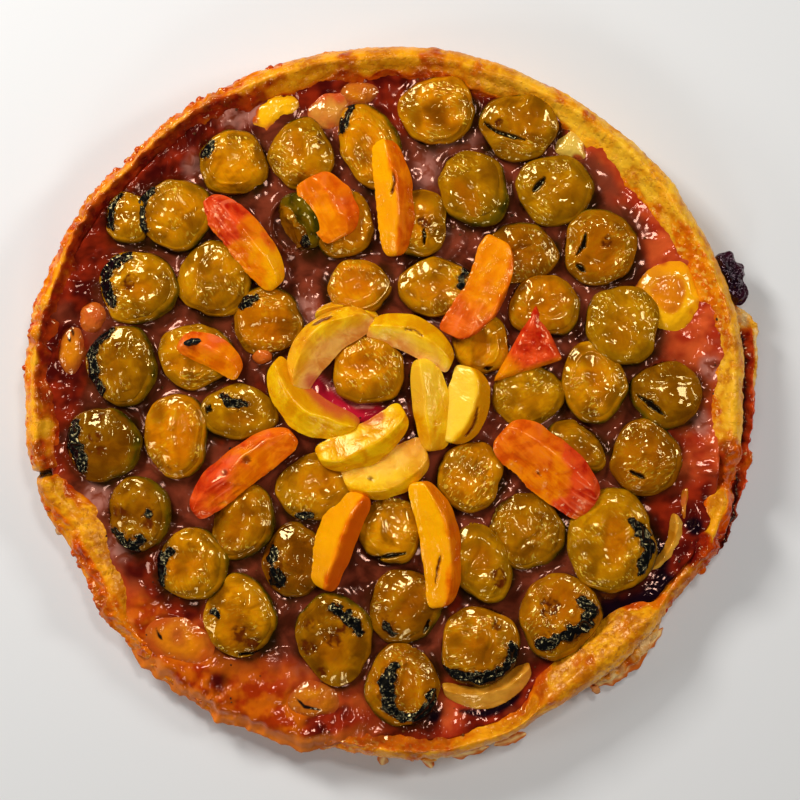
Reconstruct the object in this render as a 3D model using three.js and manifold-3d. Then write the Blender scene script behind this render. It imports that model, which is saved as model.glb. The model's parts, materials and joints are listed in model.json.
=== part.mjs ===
// A baked fruit tart about 300 mm across, seen whole: a shortcrust shell filled with custard and jam,
// with plum halves laid cut side up all over it, peach slices between them, and a rosette of slices in
// the middle. Millimetres, +Z up. The origin is the middle of the flat underside.

import * as THREE from "three";
import { mergeVertices } from "three/addons/utils/BufferGeometryUtils.js";
import Module from "manifold-3d";

// Driving dimensions of the shell
const RIM_RADIUS = 146;
const RIM_CREST = 26.5;
const RIM_WIDTH = 9.5;
const RIM_SHOULDER_DROP = 4.5;
const WALL_SLOPE = 9;
const FOOT_HEIGHT = 3.5;
const BASE_THICKNESS = 4.5;
const SKIRT_TOP = 13.5;
const GROOVE_HEIGHT = 15.5;
const SHELL_SIDES = 96;

// Driving dimensions of the filling
const CUSTARD_LEVEL = 18.5;
const CUSTARD_SIDES = 48;
const CUSTARD_RINGS = [0.72, 0.4];
const OVERFLOW_REACH = 9;
const OVERFLOW_UNDERSIDE = 9;

// Driving dimensions of the fruit
const PLUM_DEPTH = 12.5;
const PLUM_SIDES = 9;
const MOUND_SIDES = 8;
const SLICE_SIDES = 7;
const SLICE_STEPS = 6;
const SLICE_BLUNTNESS = 0.4;
const SHARD_THICKNESS = 8;
const SHARD_BEVEL = 1.5;

// Clearance between pieces that touch
const GAP = 0.3;

// Stretches of the shell that leave the plain ring: the direction of the middle of each and its half
// spread, both in degrees, then how many millimetres it adds there
const RIM_SWELLS = [
  { at: 168, spread: 27, by: 3.5 },
  { at: -48, spread: 19, by: -5.5 },
  { at: -4, spread: 10, by: -2.5 },
  { at: 207, spread: 7, by: -3 },
  { at: 262, spread: 16, by: -2.5 },
];
const CREST_CHANGES = [
  { at: 240, spread: 22, by: -11 },
  { at: 204, spread: 10, by: -3.5 },
  { at: -12, spread: 3, by: -5.5 },
  { at: -31, spread: 7, by: -5 },
  { at: 90, spread: 25, by: 1 },
  { at: -53, spread: 12, by: 0.8 },
];
const WIDTH_CHANGES = [
  { at: 204, spread: 10, by: 4.5 },
  { at: -53, spread: 13, by: 3 },
  { at: 137, spread: 19, by: -3 },
  { at: -85, spread: 12, by: -2 },
];
const SKIRT_SWELLS = [
  { at: 4, spread: 12, by: 8.5 },
  { at: 13, spread: 2.5, by: 2.5 },
  { at: 20.5, spread: 3.5, by: 3 },
  { at: -19, spread: 8, by: 3.5 },
  { at: -46, spread: 8, by: 7.5 },
  { at: -71, spread: 2, by: 2.5 },
  { at: -84, spread: 2.5, by: 4 },
  { at: 150, spread: 12, by: 1.5 },
  { at: 188.5, spread: 1.6, by: 2.5 },
];
const OVERFLOW = [
  { at: 237, spread: 21, by: 1 },
];
const CRACK = { at: 191, width: 2.6, reach: 10, floor: 9 };

const wasm = await Module();
wasm.setup();

const radians = THREE.MathUtils.degToRad;

// The sum of flat-topped bells round the ring at an angle in radians
function around(stretches, angle) {
  return stretches.reduce((sum, { at, spread, by }) => {
    const away = THREE.MathUtils.euclideanModulo(THREE.MathUtils.radToDeg(angle) - at + 180, 360) - 180;
    return sum + by * Math.exp(-((away / spread) ** 4));
  }, 0);
}

// A small uneven waver round the ring, between about -1 and 1
function waver(angle, phase) {
  const slow = Math.sin(9 * angle + phase);
  const middle = Math.sin(17 * angle + 2.3 * phase);
  const quick = Math.sin(34 * angle + 4.1 * phase);
  return 0.45 * slow + 0.3 * middle + 0.25 * quick;
}

const rimRadius = (angle) => RIM_RADIUS + around(RIM_SWELLS, angle) + 0.7 * waver(angle, 1);
const rimWidth = (angle) => RIM_WIDTH + around(WIDTH_CHANGES, angle) + 0.8 * waver(angle, 2);
const rimCrest = (angle) => RIM_CREST + around(CREST_CHANGES, angle) + 0.7 * waver(angle, 3);

// A turned body whose section changes with direction: section(angle) lists [radius, height] pairs that
// start and end on the axis
function turnedBody(section, sides) {
  const points = section(0).map(([radius, height]) => new THREE.Vector2(radius, height));
  const geometry = new THREE.LatheGeometry(points, sides);
  const position = geometry.attributes.position;
  for (let side = 0; side <= sides; side++) {
    const angle = ((side % sides) / sides) * 2 * Math.PI;
    section(angle).forEach(([radius, height], point) => {
      const vertex = side * points.length + point;
      position.setXYZ(vertex, radius * Math.cos(angle), radius * Math.sin(angle), height);
    });
  }
  return geometry;
}

// The shell's section: flat underside, sloping wall, a skirt of set jam and torn pastry where it ran
// over, the rounded rim, the inner wall and the floor. Each row is a radius, a height, and which way
// the gap moves that point.
function shellSection(angle, gap) {
  const outer = rimRadius(angle);
  const width = rimWidth(angle);
  const crest = rimCrest(angle);
  const shoulder = crest - RIM_SHOULDER_DROP;
  const skirt = around(SKIRT_SWELLS, angle) * (1 + 0.2 * waver(angle, 5));
  const groove = Math.min(GROOVE_HEIGHT - 0.4 * skirt, shoulder - 2);
  const skirtTop = Math.min(SKIRT_TOP, groove - 2 + 0.4 * skirt);
  const rows = [
    [0, 0, 0, -1],
    [outer - WALL_SLOPE, 0, 1, -1],
    [outer - WALL_SLOPE * 0.62, FOOT_HEIGHT, 1, 0],
    [outer - WALL_SLOPE * 0.3 + skirt * 0.9, skirtTop * 0.6, 1, 0],
    [outer - WALL_SLOPE * 0.18 + skirt, skirtTop, 1, 1],
    [outer - WALL_SLOPE * 0.12 + skirt * 0.15, groove, 1, 1],
    [outer, shoulder, 1, 1],
    [outer - width * 0.45, crest, 0, 1],
    [outer - width, shoulder + 0.8, -1, 1],
    [outer - width - 2.5, BASE_THICKNESS + 1, -1, 1],
    [0, BASE_THICKNESS, 0, 1],
  ];
  return rows.map(([radius, height, out, up]) => [radius + gap * out, height + gap * up]);
}

// The crack through the rim on the left: a wedge open to the outside
function crackWedge() {
  const outline = new THREE.Shape();
  outline.moveTo(-CRACK.reach, 0);
  outline.lineTo(CRACK.reach, -CRACK.width);
  outline.lineTo(CRACK.reach, CRACK.width);
  outline.closePath();
  const wedge = new THREE.ExtrudeGeometry(outline, { depth: RIM_CREST, bevelEnabled: false });
  const angle = radians(CRACK.at);
  const radius = rimRadius(angle);
  wedge.rotateZ(angle);
  wedge.translate(radius * Math.cos(angle), radius * Math.sin(angle), CRACK.floor);
  return wedge;
}

// The filling before it is cut round the shell and the fruit: custard and jam up to their level, and
// over the rim at the lower left, where they ran out and set
function fillingSection(angle) {
  const over = around(OVERFLOW, angle);
  const edge = rimRadius(angle) - 6 + over * (OVERFLOW_REACH + 1.2 * waver(angle, 6));
  const level = CUSTARD_LEVEL + 0.5 * waver(angle, 4);
  return [
    [0, BASE_THICKNESS - 1],
    [edge - 16 - 6 * over, BASE_THICKNESS - 1],
    [edge, OVERFLOW_UNDERSIDE + 3 * (1 - over)],
    [edge + 0.5 * over, level - 3.5 * over],
    [edge - 4, level + 0.3],
    ...CUSTARD_RINGS.map((share, ring) => {
      return [edge * share, level - 0.3 + 0.5 * Math.sin(3 * angle + 2 * ring)];
    }),
    [0, CUSTARD_LEVEL],
  ];
}

// Half a plum, cut side up at height 0, in its own frame: a round belly below, a cut face with a
// shallow hollow where the stone was, and a slightly uneven oval edge
function plumHalf({ length, width }, phase) {
  const depth = PLUM_DEPTH * Math.min(1, width / 27);
  return turnedBody((angle) => {
    const edge = ovalEdge(angle, length, width, phase);
    return [
      [0, -depth],
      [edge * 0.72, -depth * 0.76],
      [edge, -0.8],
      [edge * 0.87, 0.9],
      [edge * 0.42, 0.2],
      [0, -0.9],
    ];
  }, PLUM_SIDES);
}

// The room a plum half needs: its belly with the gap added, carried straight up past its face
function plumRoom({ length, width }, phase) {
  const depth = PLUM_DEPTH * Math.min(1, width / 27);
  return turnedBody((angle) => {
    const edge = ovalEdge(angle, length, width, phase) + GAP;
    return [
      [0, -depth - GAP],
      [edge * 0.72, -depth * 0.76 - GAP],
      [edge, -0.8],
      [edge, 1.5],
      [0, 1.5],
    ];
  }, PLUM_SIDES);
}

// The uneven oval that a plum half has at its edge
function ovalEdge(angle, length, width, phase) {
  const oval = 1 / Math.hypot(Math.cos(angle) / (length / 2), Math.sin(angle) / (width / 2));
  return oval * (1 + 0.03 * Math.sin(3 * angle + phase));
}

// Fruit sunk almost to its top: a low oval mound with a flat top, standing on height 0
function lowMound({ length, width, rise }) {
  return turnedBody((angle) => {
    const edge = ovalEdge(angle, length, width, length);
    return [
      [0, -2],
      [edge, -1],
      [edge * 0.8, rise],
      [0, rise],
    ];
  }, MOUND_SIDES);
}

// A peach slice in its own frame, its length along X: a ball drawn out to blunt ends and bent sideways,
// thick on the skin side and thin on the side of the stone
function peachSlice({ length, width, height, bend }, gap) {
  const geometry = new THREE.SphereGeometry(1, SLICE_SIDES, SLICE_STEPS);
  const position = geometry.attributes.position;
  const skinSide = Math.sign(bend) || 1;
  for (let vertex = 0; vertex < position.count; vertex++) {
    const along = position.getY(vertex);
    const ring = Math.sqrt(Math.max(0, 1 - along * along));
    const fuller = ring > 0.01 ? ring ** -SLICE_BLUNTNESS : 0;
    const across = -position.getX(vertex) * fuller;
    const up = position.getZ(vertex) * fuller;
    const thickness = 0.72 + 0.28 * across * skinSide;
    const x = along * (length / 2 + gap);
    const y = across * (width / 2 + gap) + bend * (0.5 - along * along);
    const z = up * (height / 2 + gap) * thickness;
    position.setXYZ(vertex, x, y, z);
  }
  return geometry;
}

// A three-cornered shard of peach flesh, lying flat
function peachShard({ corners }, gap) {
  const outline = new THREE.Shape(corners.map(([x, y]) => new THREE.Vector2(x, y)));
  const depth = SHARD_THICKNESS - 2 * SHARD_BEVEL;
  const options = {
    depth,
    bevelEnabled: true,
    bevelSegments: 1,
    bevelThickness: SHARD_BEVEL + gap,
    bevelSize: gap,
    bevelOffset: 0,
  };
  const geometry = new THREE.ExtrudeGeometry(outline, options);
  geometry.translate(0, 0, -depth / 2);
  return geometry;
}

// Plum halves that show whole: centre, length, width, direction of the length, height of the cut face,
// and how far and which way that face leans. The first in the list lie uppermost.
const PLUM_ROWS = [
  ["plum_half_01", -64.5, 98.5, 28, 26, 0, 22.5, 6, 300],
  ["plum_half_02", -36, 102, 28, 26, 90, 22.5, 4, 250],
  ["plum_half_03", -9, 105.5, 36, 24, 112, 24, 12, 200],
  ["plum_half_04", 19, 120.5, 31, 27, 10, 22.5, 5, 240],
  ["plum_half_05", 52, 113.5, 31.5, 28, 0, 24, 6, 270],
  ["plum_half_06", 33.5, 89, 33, 28, 118, 24, 14, 140],
  ["plum_half_07", 67, 87.5, 31, 28.5, 0, 23.5, 6, 200],
  ["plum_half_08", 85.5, 64, 31, 29, 90, 24, 8, 230],
  ["plum_half_09", 53, 62, 29, 25, 0, 22, 5, 260],
  ["plum_half_10", -39.5, 73.5, 27, 24, 115, 23.5, 38, 215],
  ["plum_half_11", -104, 48.5, 32, 30, 0, 24, 8, 120],
  ["plum_half_12", -72, 51, 30, 30, 0, 23.5, 5, 200],
  ["plum_half_13", -13, 48, 26, 23, 0, 22.5, 4, 90],
  ["plum_half_14", 95.5, 32, 33, 30, 90, 23, 5, 60],
  ["plum_half_15", -51, 34, 28.5, 27.5, 0, 22.5, 8, 240],
  ["plum_half_16", -110, 16, 32.5, 28, 100, 24, 8, 170],
  ["plum_half_17", 37, 25, 25.5, 23, 90, 22, 5, 300],
  ["plum_half_18", 83.5, 9.5, 33, 26, 100, 24, 8, 120],
  ["plum_half_19", 56, 3.5, 29, 26, 0, 21.5, 4, 250],
  ["plum_half_20", 113.5, 5, 29, 27, 0, 22.5, 8, 150],
  ["plum_half_21", -9, 14.5, 29, 28, 0, 24.5, 4, 100],
  ["plum_half_22", -88, -13, 35, 26, 90, 23, 5, 180],
  ["plum_half_23", -62.5, -3, 32, 23, 0, 22, 6, 60],
  ["plum_half_24", -118, -16.5, 31, 30, 0, 24, 10, 180],
  ["plum_half_25", 33, -28.5, 29, 26, 70, 22.5, 4, 20],
  ["plum_half_26", 77.5, -16.5, 29, 17, -38, 23.5, 20, 50],
  ["plum_half_27", 104, -22.5, 31, 28, 90, 23, 6, 200],
  ["plum_half_28", -31, -34, 31, 27, 0, 22, 5, 120],
  ["plum_half_29", -60.5, -47.5, 32, 25, 70, 23, 10, 150],
  ["plum_half_30", -102.5, -45, 31, 26, 95, 24, 10, 190],
  ["plum_half_31", 0, -51, 28, 25, 90, 22, 6, 90],
  ["plum_half_32", 90.5, -57, 42, 36, 90, 24, 5, 160],
  ["plum_half_33", 56, -52, 32, 30, 130, 22.5, 6, 130],
  ["plum_half_34", -81.5, -65.5, 30, 29, 0, 23, 7, 130],
  ["plum_half_35", -38.5, -64, 30, 27, 90, 22.5, 6, 180],
  ["plum_half_36", 37, -64.5, 33.5, 24, 110, 22.5, 6, 100],
  ["plum_half_37", -61.5, -87.5, 33, 29, 95, 23, 6, 200],
  ["plum_half_38", 36, -98, 32, 32, 0, 23.5, 8, 100],
  ["plum_half_39", 5, -82.5, 31, 29, 45, 22, 8, 150],
  ["plum_half_40", -23, -96, 37, 30, 100, 23.5, 8, 250],
  ["plum_half_41", 69.5, -85, 35, 32, 70, 23, 6, 120],
  ["plum_half_42", 5.5, -114.5, 33, 30, 90, 23, 8, 60],
];

// Plum halves that another piece lies against, and the piece's own row beside them
const PLUM_UPPER_LEFT = ["", -87.5, 78, 31.5, 29, 0, 24, 6, 180];
const PLUM_TUCKED_LEFT = ["", -107, 77, 22, 19, 95, 22, 5, 90];
const PLUM_UNDER_SHORT_SLICE = ["", -18, 73.5, 29, 24, 85, 22.5, 6, 0];
const PLUM_UNDER_LONG_SLICE = ["", 12, 74.5, 29, 24, 80, 22.5, 8, 20];
const PLUM_UNDER_CRESCENT = ["", 19, 48, 33, 24, 0, 23, 4, 160];
const PLUM_UNDER_CURL = ["", -80, 20, 32, 27, 0, 22.5, 5, 200];
const PLUM_UNDER_SHARD = ["", 63, 40.5, 30, 26, 0, 22.5, 6, 120];

// Peach slices: centre, length, width, height, direction of the length, sideways bend, height of the
// middle, and roll about the length
const SLICE_ROWS = [
  ["peach_slice_upper_left", -59, 67, 44, 14.5, 11, -51, 2.5, 25, 10],
  ["peach_slice_lower_left", -61, -26.5, 51, 15, 10, 38, 3, 24, -8],
  ["peach_slice_right", 64.5, -25.5, 46, 22, 11, -41, 2, 24.5, 6],
  ["peach_slice_low_left", -21, -54.5, 41, 15.5, 13, 68, 3, 25, -12],
  ["peach_slice_low_right", 18.5, -56, 52, 15, 12, 100, -5, 25, 12],
];
const SLICE_LONG = ["", 1, 84.5, 47, 14.5, 12, 96, -2, 25.5, 8];
const SLICE_SHORT = ["", -24.5, 80.5, 29, 18, 9, -62, 2, 25.5, 0];
const SLICE_CRESCENT = ["", 36.5, 47, 43, 14.5, 12, 63, -6, 24.5, 0];
const SLICE_CURL = ["", -73, 20.5, 26, 12, 7.5, -28, 3, 25, 0];
const SHARD = { at: [57, 22.5, 25.5], corners: [[-14, -12.5], [12.5, -4], [2.5, 17.5]] };

// The rosette of pale slices round the middle plum half
const PETAL_ROWS = [
  ["rosette_slice_upper_left", -27.5, 26, 42, 13, 12, 44, 6, 24.5, 0],
  ["rosette_slice_upper_right", 10, 27.5, 35, 11.5, 10, -25, 4, 24, 0],
];
const PETALS_RIGHT = [
  ["", 16.5, 0, 37, 13, 12, 95, 0, 24, 0],
  ["", 30, -0.5, 30, 17, 11, 80, -3, 23.5, 0],
];
const PETALS_BELOW = [
  ["", -33.5, 0.5, 42, 12.5, 12, -39, -6, 24, 0],
  ["", -10, -14, 37, 15.5, 11, 28, -3, 24.5, 0],
  ["", -1.5, -26, 34, 18, 9, 20, -4, 22.5, 0],
];

// Fruit sunk almost to its top in the filling: centre, length, width, direction of the length, and how
// far it rises above the custard
const SUNK_ROWS = [
  [74.5, 107.5, 17, 14, 100, 1.2],
  [114, 45, 29, 27, 60, 1.6],
  [-48, 120, 20, 18, 80, 2],
  [-25, 121.5, 18, 14, 30, 1],
  [-13, 129, 16, 9, 0, 0.8],
  [-131, 22.5, 21, 11, 85, 1],
  [-122, 36.5, 13, 11, 60, 1],
  [-85.5, -96, 29, 20, -30, 1],
  [-31.5, -121, 23, 15, 0, 1],
  [113.5, -58, 17, 7, 70, 1.6],
  [41, -116.5, 35, 9, 14, 2],
];

// The matrix that stands a plum half in the tart
function plumPlace([, x, y, , , turn, face, lean, towards]) {
  const leanAxis = new THREE.Vector3(-Math.sin(radians(towards)), Math.cos(radians(towards)), 0);
  const leaning = new THREE.Quaternion().setFromAxisAngle(leanAxis, radians(lean));
  const turning = new THREE.Quaternion().setFromAxisAngle(new THREE.Vector3(0, 0, 1), radians(turn));
  const size = new THREE.Vector3(1, 1, 1);
  return new THREE.Matrix4().compose(new THREE.Vector3(x, y, face), leaning.multiply(turning), size);
}

// The matrix that lays a slice in the tart
function slicePlace([, x, y, , , , turn, , middle, roll]) {
  const turning = new THREE.Quaternion().setFromAxisAngle(new THREE.Vector3(0, 0, 1), radians(turn));
  const rolling = new THREE.Quaternion().setFromAxisAngle(new THREE.Vector3(1, 0, 0), radians(roll));
  const size = new THREE.Vector3(1, 1, 1);
  return new THREE.Matrix4().compose(new THREE.Vector3(x, y, middle), turning.multiply(rolling), size);
}

// A shape is the matrix of its place and a function that gives its geometry with a gap added
function plumShape(row) {
  const [, x, y, length, width] = row;
  const size = { length, width };
  const geometry = (gap) => (gap > 0 ? plumRoom(size, x + y) : plumHalf(size, x + y));
  return { place: plumPlace(row), geometry };
}

function sliceShape(row) {
  const [, , , length, width, height, , bend] = row;
  return { place: slicePlace(row), geometry: (gap) => peachSlice({ length, width, height, bend }, gap) };
}

function moundShape([x, y, length, width, turn, rise]) {
  const place = new THREE.Matrix4().makeRotationZ(radians(turn)).setPosition(x, y, CUSTARD_LEVEL);
  return { place, geometry: () => lowMound({ length, width, rise }) };
}

function shardShape() {
  const place = new THREE.Matrix4().makeTranslation(...SHARD.at);
  return { place, geometry: (gap) => peachShard(SHARD, gap) };
}

// A closed geometry as a solid that can be joined and cut
function solidFrom(geometry) {
  geometry.deleteAttribute("normal");
  geometry.deleteAttribute("uv");
  const merged = mergeVertices(geometry, 1e-4);
  return new wasm.Manifold(
    new wasm.Mesh({
      numProp: 3,
      vertProperties: new Float32Array(merged.attributes.position.array),
      triVerts: new Uint32Array(merged.index.array),
    }),
  );
}

// The solid of several shapes joined, each with a gap added
function solidOfShapes(shapes, gap) {
  const solids = shapes.map(({ place, geometry }) => solidFrom(geometry(gap).applyMatrix4(place)));
  return solids.reduce((whole, next) => whole.add(next));
}

// The largest of the separate bodies that a cut leaves
function largestBody(solid) {
  return solid.decompose().reduce((best, body) => (body.volume() > best.volume() ? body : best));
}

function geometryFrom(solid) {
  const { vertProperties, triVerts } = solid.getMesh();
  const geometry = new THREE.BufferGeometry();
  geometry.setAttribute("position", new THREE.BufferAttribute(new Float32Array(vertProperties), 3));
  geometry.setIndex(new THREE.BufferAttribute(new Uint32Array(triVerts), 1));
  geometry.computeVertexNormals();
  return geometry;
}

// A named mesh whose geometry is brought back into the frame of its place in the tart
function placedMesh(name, solid, place, material) {
  const mesh = new THREE.Mesh(geometryFrom(solid).applyMatrix4(place.clone().invert()), material);
  mesh.name = name;
  place.decompose(mesh.position, mesh.quaternion, mesh.scale);
  return mesh;
}

const surfaceFinish = (color, roughness) => {
  return () => new THREE.MeshStandardMaterial({ color, roughness, metalness: 0 });
};
const pastryFinish = surfaceFinish(0xd08a2c, 0.75);
const fillingFinish = surfaceFinish(0xa84432, 0.25);
const plumFinish = surfaceFinish(0xb0720c, 0.35);
const peachFinish = surfaceFinish(0xee7c10, 0.35);
const paleFinish = surfaceFinish(0xf0b828, 0.35);

// Every piece of fruit as name, shapes and finish, the uppermost first
function fruitPieces() {
  const single = (shape, finish) => (row) => ({ name: row[0], shapes: [shape(row)], finish });
  return [
    { name: "plum_half_with_long_slice", finish: peachFinish,
      shapes: [sliceShape(SLICE_LONG), plumShape(PLUM_UNDER_LONG_SLICE)] },
    { name: "plum_half_with_short_slice", finish: peachFinish,
      shapes: [sliceShape(SLICE_SHORT), plumShape(PLUM_UNDER_SHORT_SLICE)] },
    { name: "plum_half_with_crescent", finish: peachFinish,
      shapes: [sliceShape(SLICE_CRESCENT), plumShape(PLUM_UNDER_CRESCENT)] },
    { name: "plum_half_with_curl", finish: peachFinish,
      shapes: [sliceShape(SLICE_CURL), plumShape(PLUM_UNDER_CURL)] },
    { name: "plum_half_with_shard", finish: peachFinish,
      shapes: [shardShape(), plumShape(PLUM_UNDER_SHARD)] },
    ...SLICE_ROWS.map(single(sliceShape, peachFinish)),
    ...PETAL_ROWS.map(single(sliceShape, paleFinish)),
    { name: "rosette_slices_right", finish: paleFinish, shapes: PETALS_RIGHT.map(sliceShape) },
    { name: "rosette_slices_below", finish: paleFinish, shapes: PETALS_BELOW.map(sliceShape) },
    { name: "plum_half_pair", finish: plumFinish,
      shapes: [plumShape(PLUM_UPPER_LEFT), plumShape(PLUM_TUCKED_LEFT)] },
    ...PLUM_ROWS.map(single(plumShape, plumFinish)),
  ];
}

const shellBody = (gap) => solidFrom(turnedBody((angle) => shellSection(angle, gap), SHELL_SIDES));

const shell = shellBody(0).subtract(solidFrom(crackWedge()));
const shellRoom = shellBody(GAP);

// Each piece is cut clear of the shell and of every piece that lies above it
function layFruit(pieces) {
  const laid = [];
  const meshes = pieces.map(({ name, shapes, finish }) => {
    const whole = solidOfShapes(shapes, 0);
    const cut = laid.reduce((left, room) => left.subtract(room), whole.subtract(shellRoom));
    laid.push(solidOfShapes(shapes, GAP));
    return placedMesh(name, largestBody(cut), shapes[0].place, finish());
  });
  return { meshes, rooms: laid };
}

// The custard and jam with the sunk fruit joined on, cut clear of the shell and of all the fruit
function layFilling(rooms) {
  const sunk = solidOfShapes(SUNK_ROWS.map(moundShape), 0);
  const level = solidFrom(turnedBody(fillingSection, CUSTARD_SIDES));
  const whole = level.add(sunk).subtract(shellRoom);
  const cut = rooms.reduce((left, room) => left.subtract(room), whole);
  return placedMesh("custard_and_jam", largestBody(cut), new THREE.Matrix4(), fillingFinish());
}

const tart = new THREE.Group();
tart.name = "fruit_tart";
tart.add(placedMesh("pastry_shell", shell, new THREE.Matrix4(), pastryFinish()));
const { meshes, rooms } = layFruit(fruitPieces());
tart.add(layFilling(rooms));
const fruit = new THREE.Group();
fruit.name = "fruit";
fruit.add(...meshes);
tart.add(fruit);

export default tart;
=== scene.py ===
"""A baked fruit tart, 300 mm across: a shortcrust shell with custard and jam, plum halves laid cut side
up, peach slices between them and a rosette of pale slices in the middle. Everything is dressed round
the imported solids, in metres, in their frame. Shapes are worked out in millimetres and scaled once."""

import json
import math

import bpy
import numpy as np
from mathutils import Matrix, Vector

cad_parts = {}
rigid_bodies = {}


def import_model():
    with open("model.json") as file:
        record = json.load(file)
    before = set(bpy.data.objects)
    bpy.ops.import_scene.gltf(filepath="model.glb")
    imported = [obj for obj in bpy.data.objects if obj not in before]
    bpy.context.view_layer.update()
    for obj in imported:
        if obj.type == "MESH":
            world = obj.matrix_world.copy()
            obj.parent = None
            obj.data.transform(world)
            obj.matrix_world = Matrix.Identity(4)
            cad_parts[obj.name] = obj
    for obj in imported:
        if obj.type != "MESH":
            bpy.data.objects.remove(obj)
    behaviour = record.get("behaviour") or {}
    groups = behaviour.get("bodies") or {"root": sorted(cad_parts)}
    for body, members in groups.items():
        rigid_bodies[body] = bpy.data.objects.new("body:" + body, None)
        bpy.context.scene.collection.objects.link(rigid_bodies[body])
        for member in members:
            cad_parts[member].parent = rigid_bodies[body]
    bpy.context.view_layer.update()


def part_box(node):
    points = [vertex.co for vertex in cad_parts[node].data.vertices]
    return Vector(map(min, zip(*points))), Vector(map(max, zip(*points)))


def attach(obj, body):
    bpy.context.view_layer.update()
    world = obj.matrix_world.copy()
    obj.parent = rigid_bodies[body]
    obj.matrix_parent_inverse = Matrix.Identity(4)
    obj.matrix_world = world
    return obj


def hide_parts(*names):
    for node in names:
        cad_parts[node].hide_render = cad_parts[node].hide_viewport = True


for leftover in list(bpy.data.objects):
    bpy.data.objects.remove(leftover)
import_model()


# The table, the light and the eye. The tart lies on a plain pale table in a dim white room, under one
# strong soft lamp to the upper left and five weaker ones, and is looked at from straight above, as it
# was photographed.
PICTURE_SIDE = 800
MM_PER_PIXEL = 0.408
TART_MIDDLE_PIXEL = (390, 405)
LENS = 85.0
SENSOR = 36.0
FACE_HEIGHT_MM = 23.0
# Lamps: place and side in metres, power in watts
LAMPS = {
    "key_lamp": ((-0.5, 0.55, 0.6), 0.24, 6.2),
    "side_lamp": ((0.8, 0.25, 0.7), 0.22, 3.0),
    "low_lamp": ((-0.1, -0.9, 0.6), 0.2, 1.5),
    "high_lamp": ((0.2, 0.42, 1.15), 0.16, 2.9),
    "left_lamp": ((-0.85, -0.2, 0.5), 0.18, 1.4),
    "small_lamp": ((-0.12, 0.1, 1.25), 0.06, 0.6),
}
LAMP_TARGET = Vector((0, 0, 0.02))
ROOM_STRENGTH = 0.035
TABLE_SIDE = 3
TABLE_COLOUR = (0.78, 0.77, 0.75, 1)
TABLE_ROUGHNESS = 0.8

view_side = PICTURE_SIDE * MM_PER_PIXEL / 1000
camera_data = bpy.data.cameras.new("eye")
camera_data.lens = LENS
camera_data.sensor_width = SENSOR
camera = bpy.data.objects.new("eye", camera_data)
bpy.context.scene.collection.objects.link(camera)
camera.location = (
    (PICTURE_SIDE / 2 - TART_MIDDLE_PIXEL[0]) * MM_PER_PIXEL / 1000,
    (TART_MIDDLE_PIXEL[1] - PICTURE_SIDE / 2) * MM_PER_PIXEL / 1000,
    view_side * LENS / SENSOR + FACE_HEIGHT_MM / 1000,
)
bpy.context.scene.camera = camera

for name, (place, side, power) in LAMPS.items():
    lamp_data = bpy.data.lights.new(name, "AREA")
    lamp_data.size = side
    lamp_data.energy = power
    lamp = bpy.data.objects.new(name, lamp_data)
    bpy.context.scene.collection.objects.link(lamp)
    lamp.location = place
    lamp.rotation_mode = "QUATERNION"
    lamp.rotation_quaternion = (LAMP_TARGET - Vector(place)).to_track_quat("-Z", "Y")
room = bpy.data.worlds.new("room")
bpy.context.scene.world = room
room.use_nodes = True
room.node_tree.nodes["Background"].inputs["Color"].default_value = (1, 1, 1, 1)
room.node_tree.nodes["Background"].inputs["Strength"].default_value = ROOM_STRENGTH
bpy.context.scene.view_settings.view_transform = "Standard"

bpy.ops.mesh.primitive_plane_add(size=TABLE_SIDE, location=(0, 0, 0))
table_top = bpy.context.object
table_top.name = "table_top"
table_finish = bpy.data.materials.new("table_finish")
table_finish.use_nodes = True
table_shader = table_finish.node_tree.nodes["Principled BSDF"]
table_shader.inputs["Base Color"].default_value = TABLE_COLOUR
table_shader.inputs["Roughness"].default_value = TABLE_ROUGHNESS
table_top.data.materials.append(table_finish)


# The pastry shell. Shortcrust pressed into a tin by hand, baked golden: a flat base, a sloping wall
# and a rounded rim that is pressed down at the lower left, broken at the right and cracked at the
# left. Jam and torn pastry ran over it in places and set as a skirt.
RIM_RADIUS = 146.0
RIM_CREST = 26.5
RIM_WIDTH = 9.5
SHOULDER_DROP = 4.5
WALL_SLOPE = 9.0
FOOT_HEIGHT = 3.5
BASE_THICKNESS = 4.5
LEVEL = 18.5
SKIRT_TOP = 13.5
GROOVE_HEIGHT = 15.5
SHELL_SIDES = 864
# How many points each stretch of the shell's section gets, from the underside round to the floor
SECTION_POINTS = [1, 1, 4, 4, 8, 9, 9, 13, 17, 9, 9, 5, 4, 1]
CRACK = {"at": 191.0, "half_width": 1.3, "depth": 15.0, "reach": 11.0}
RIM_SWELLS = [
    (168, 27, 3.5), (-48, 19, -5.5), (-4, 10, -2.5), (207, 7, -3), (262, 16, -2.5), (-70, 9, -1.8),
]
CREST_CHANGES = [
    (239, 23.5, -11), (204, 10, -3.5), (-12, 3, -5.5), (-31, 7, -5), (90, 25, 1), (-53, 12, 0.8),
]
WIDTH_CHANGES = [(207, 11, 8.5), (-53, 12, 3), (137, 19, -3), (-85, 12, -2), (-69, 7, -4)]
SKIRT_SWELLS = [
    (2.5, 13.5, 8.5), (13, 2.5, 2.5), (20.5, 3.5, 3), (-17, 9, 4.8), (-46, 8, 7.5), (-71, 2, 2.5),
    (-84, 2.5, 4), (150, 12, 1.5), (188.5, 1.6, 2.5),
]
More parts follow.
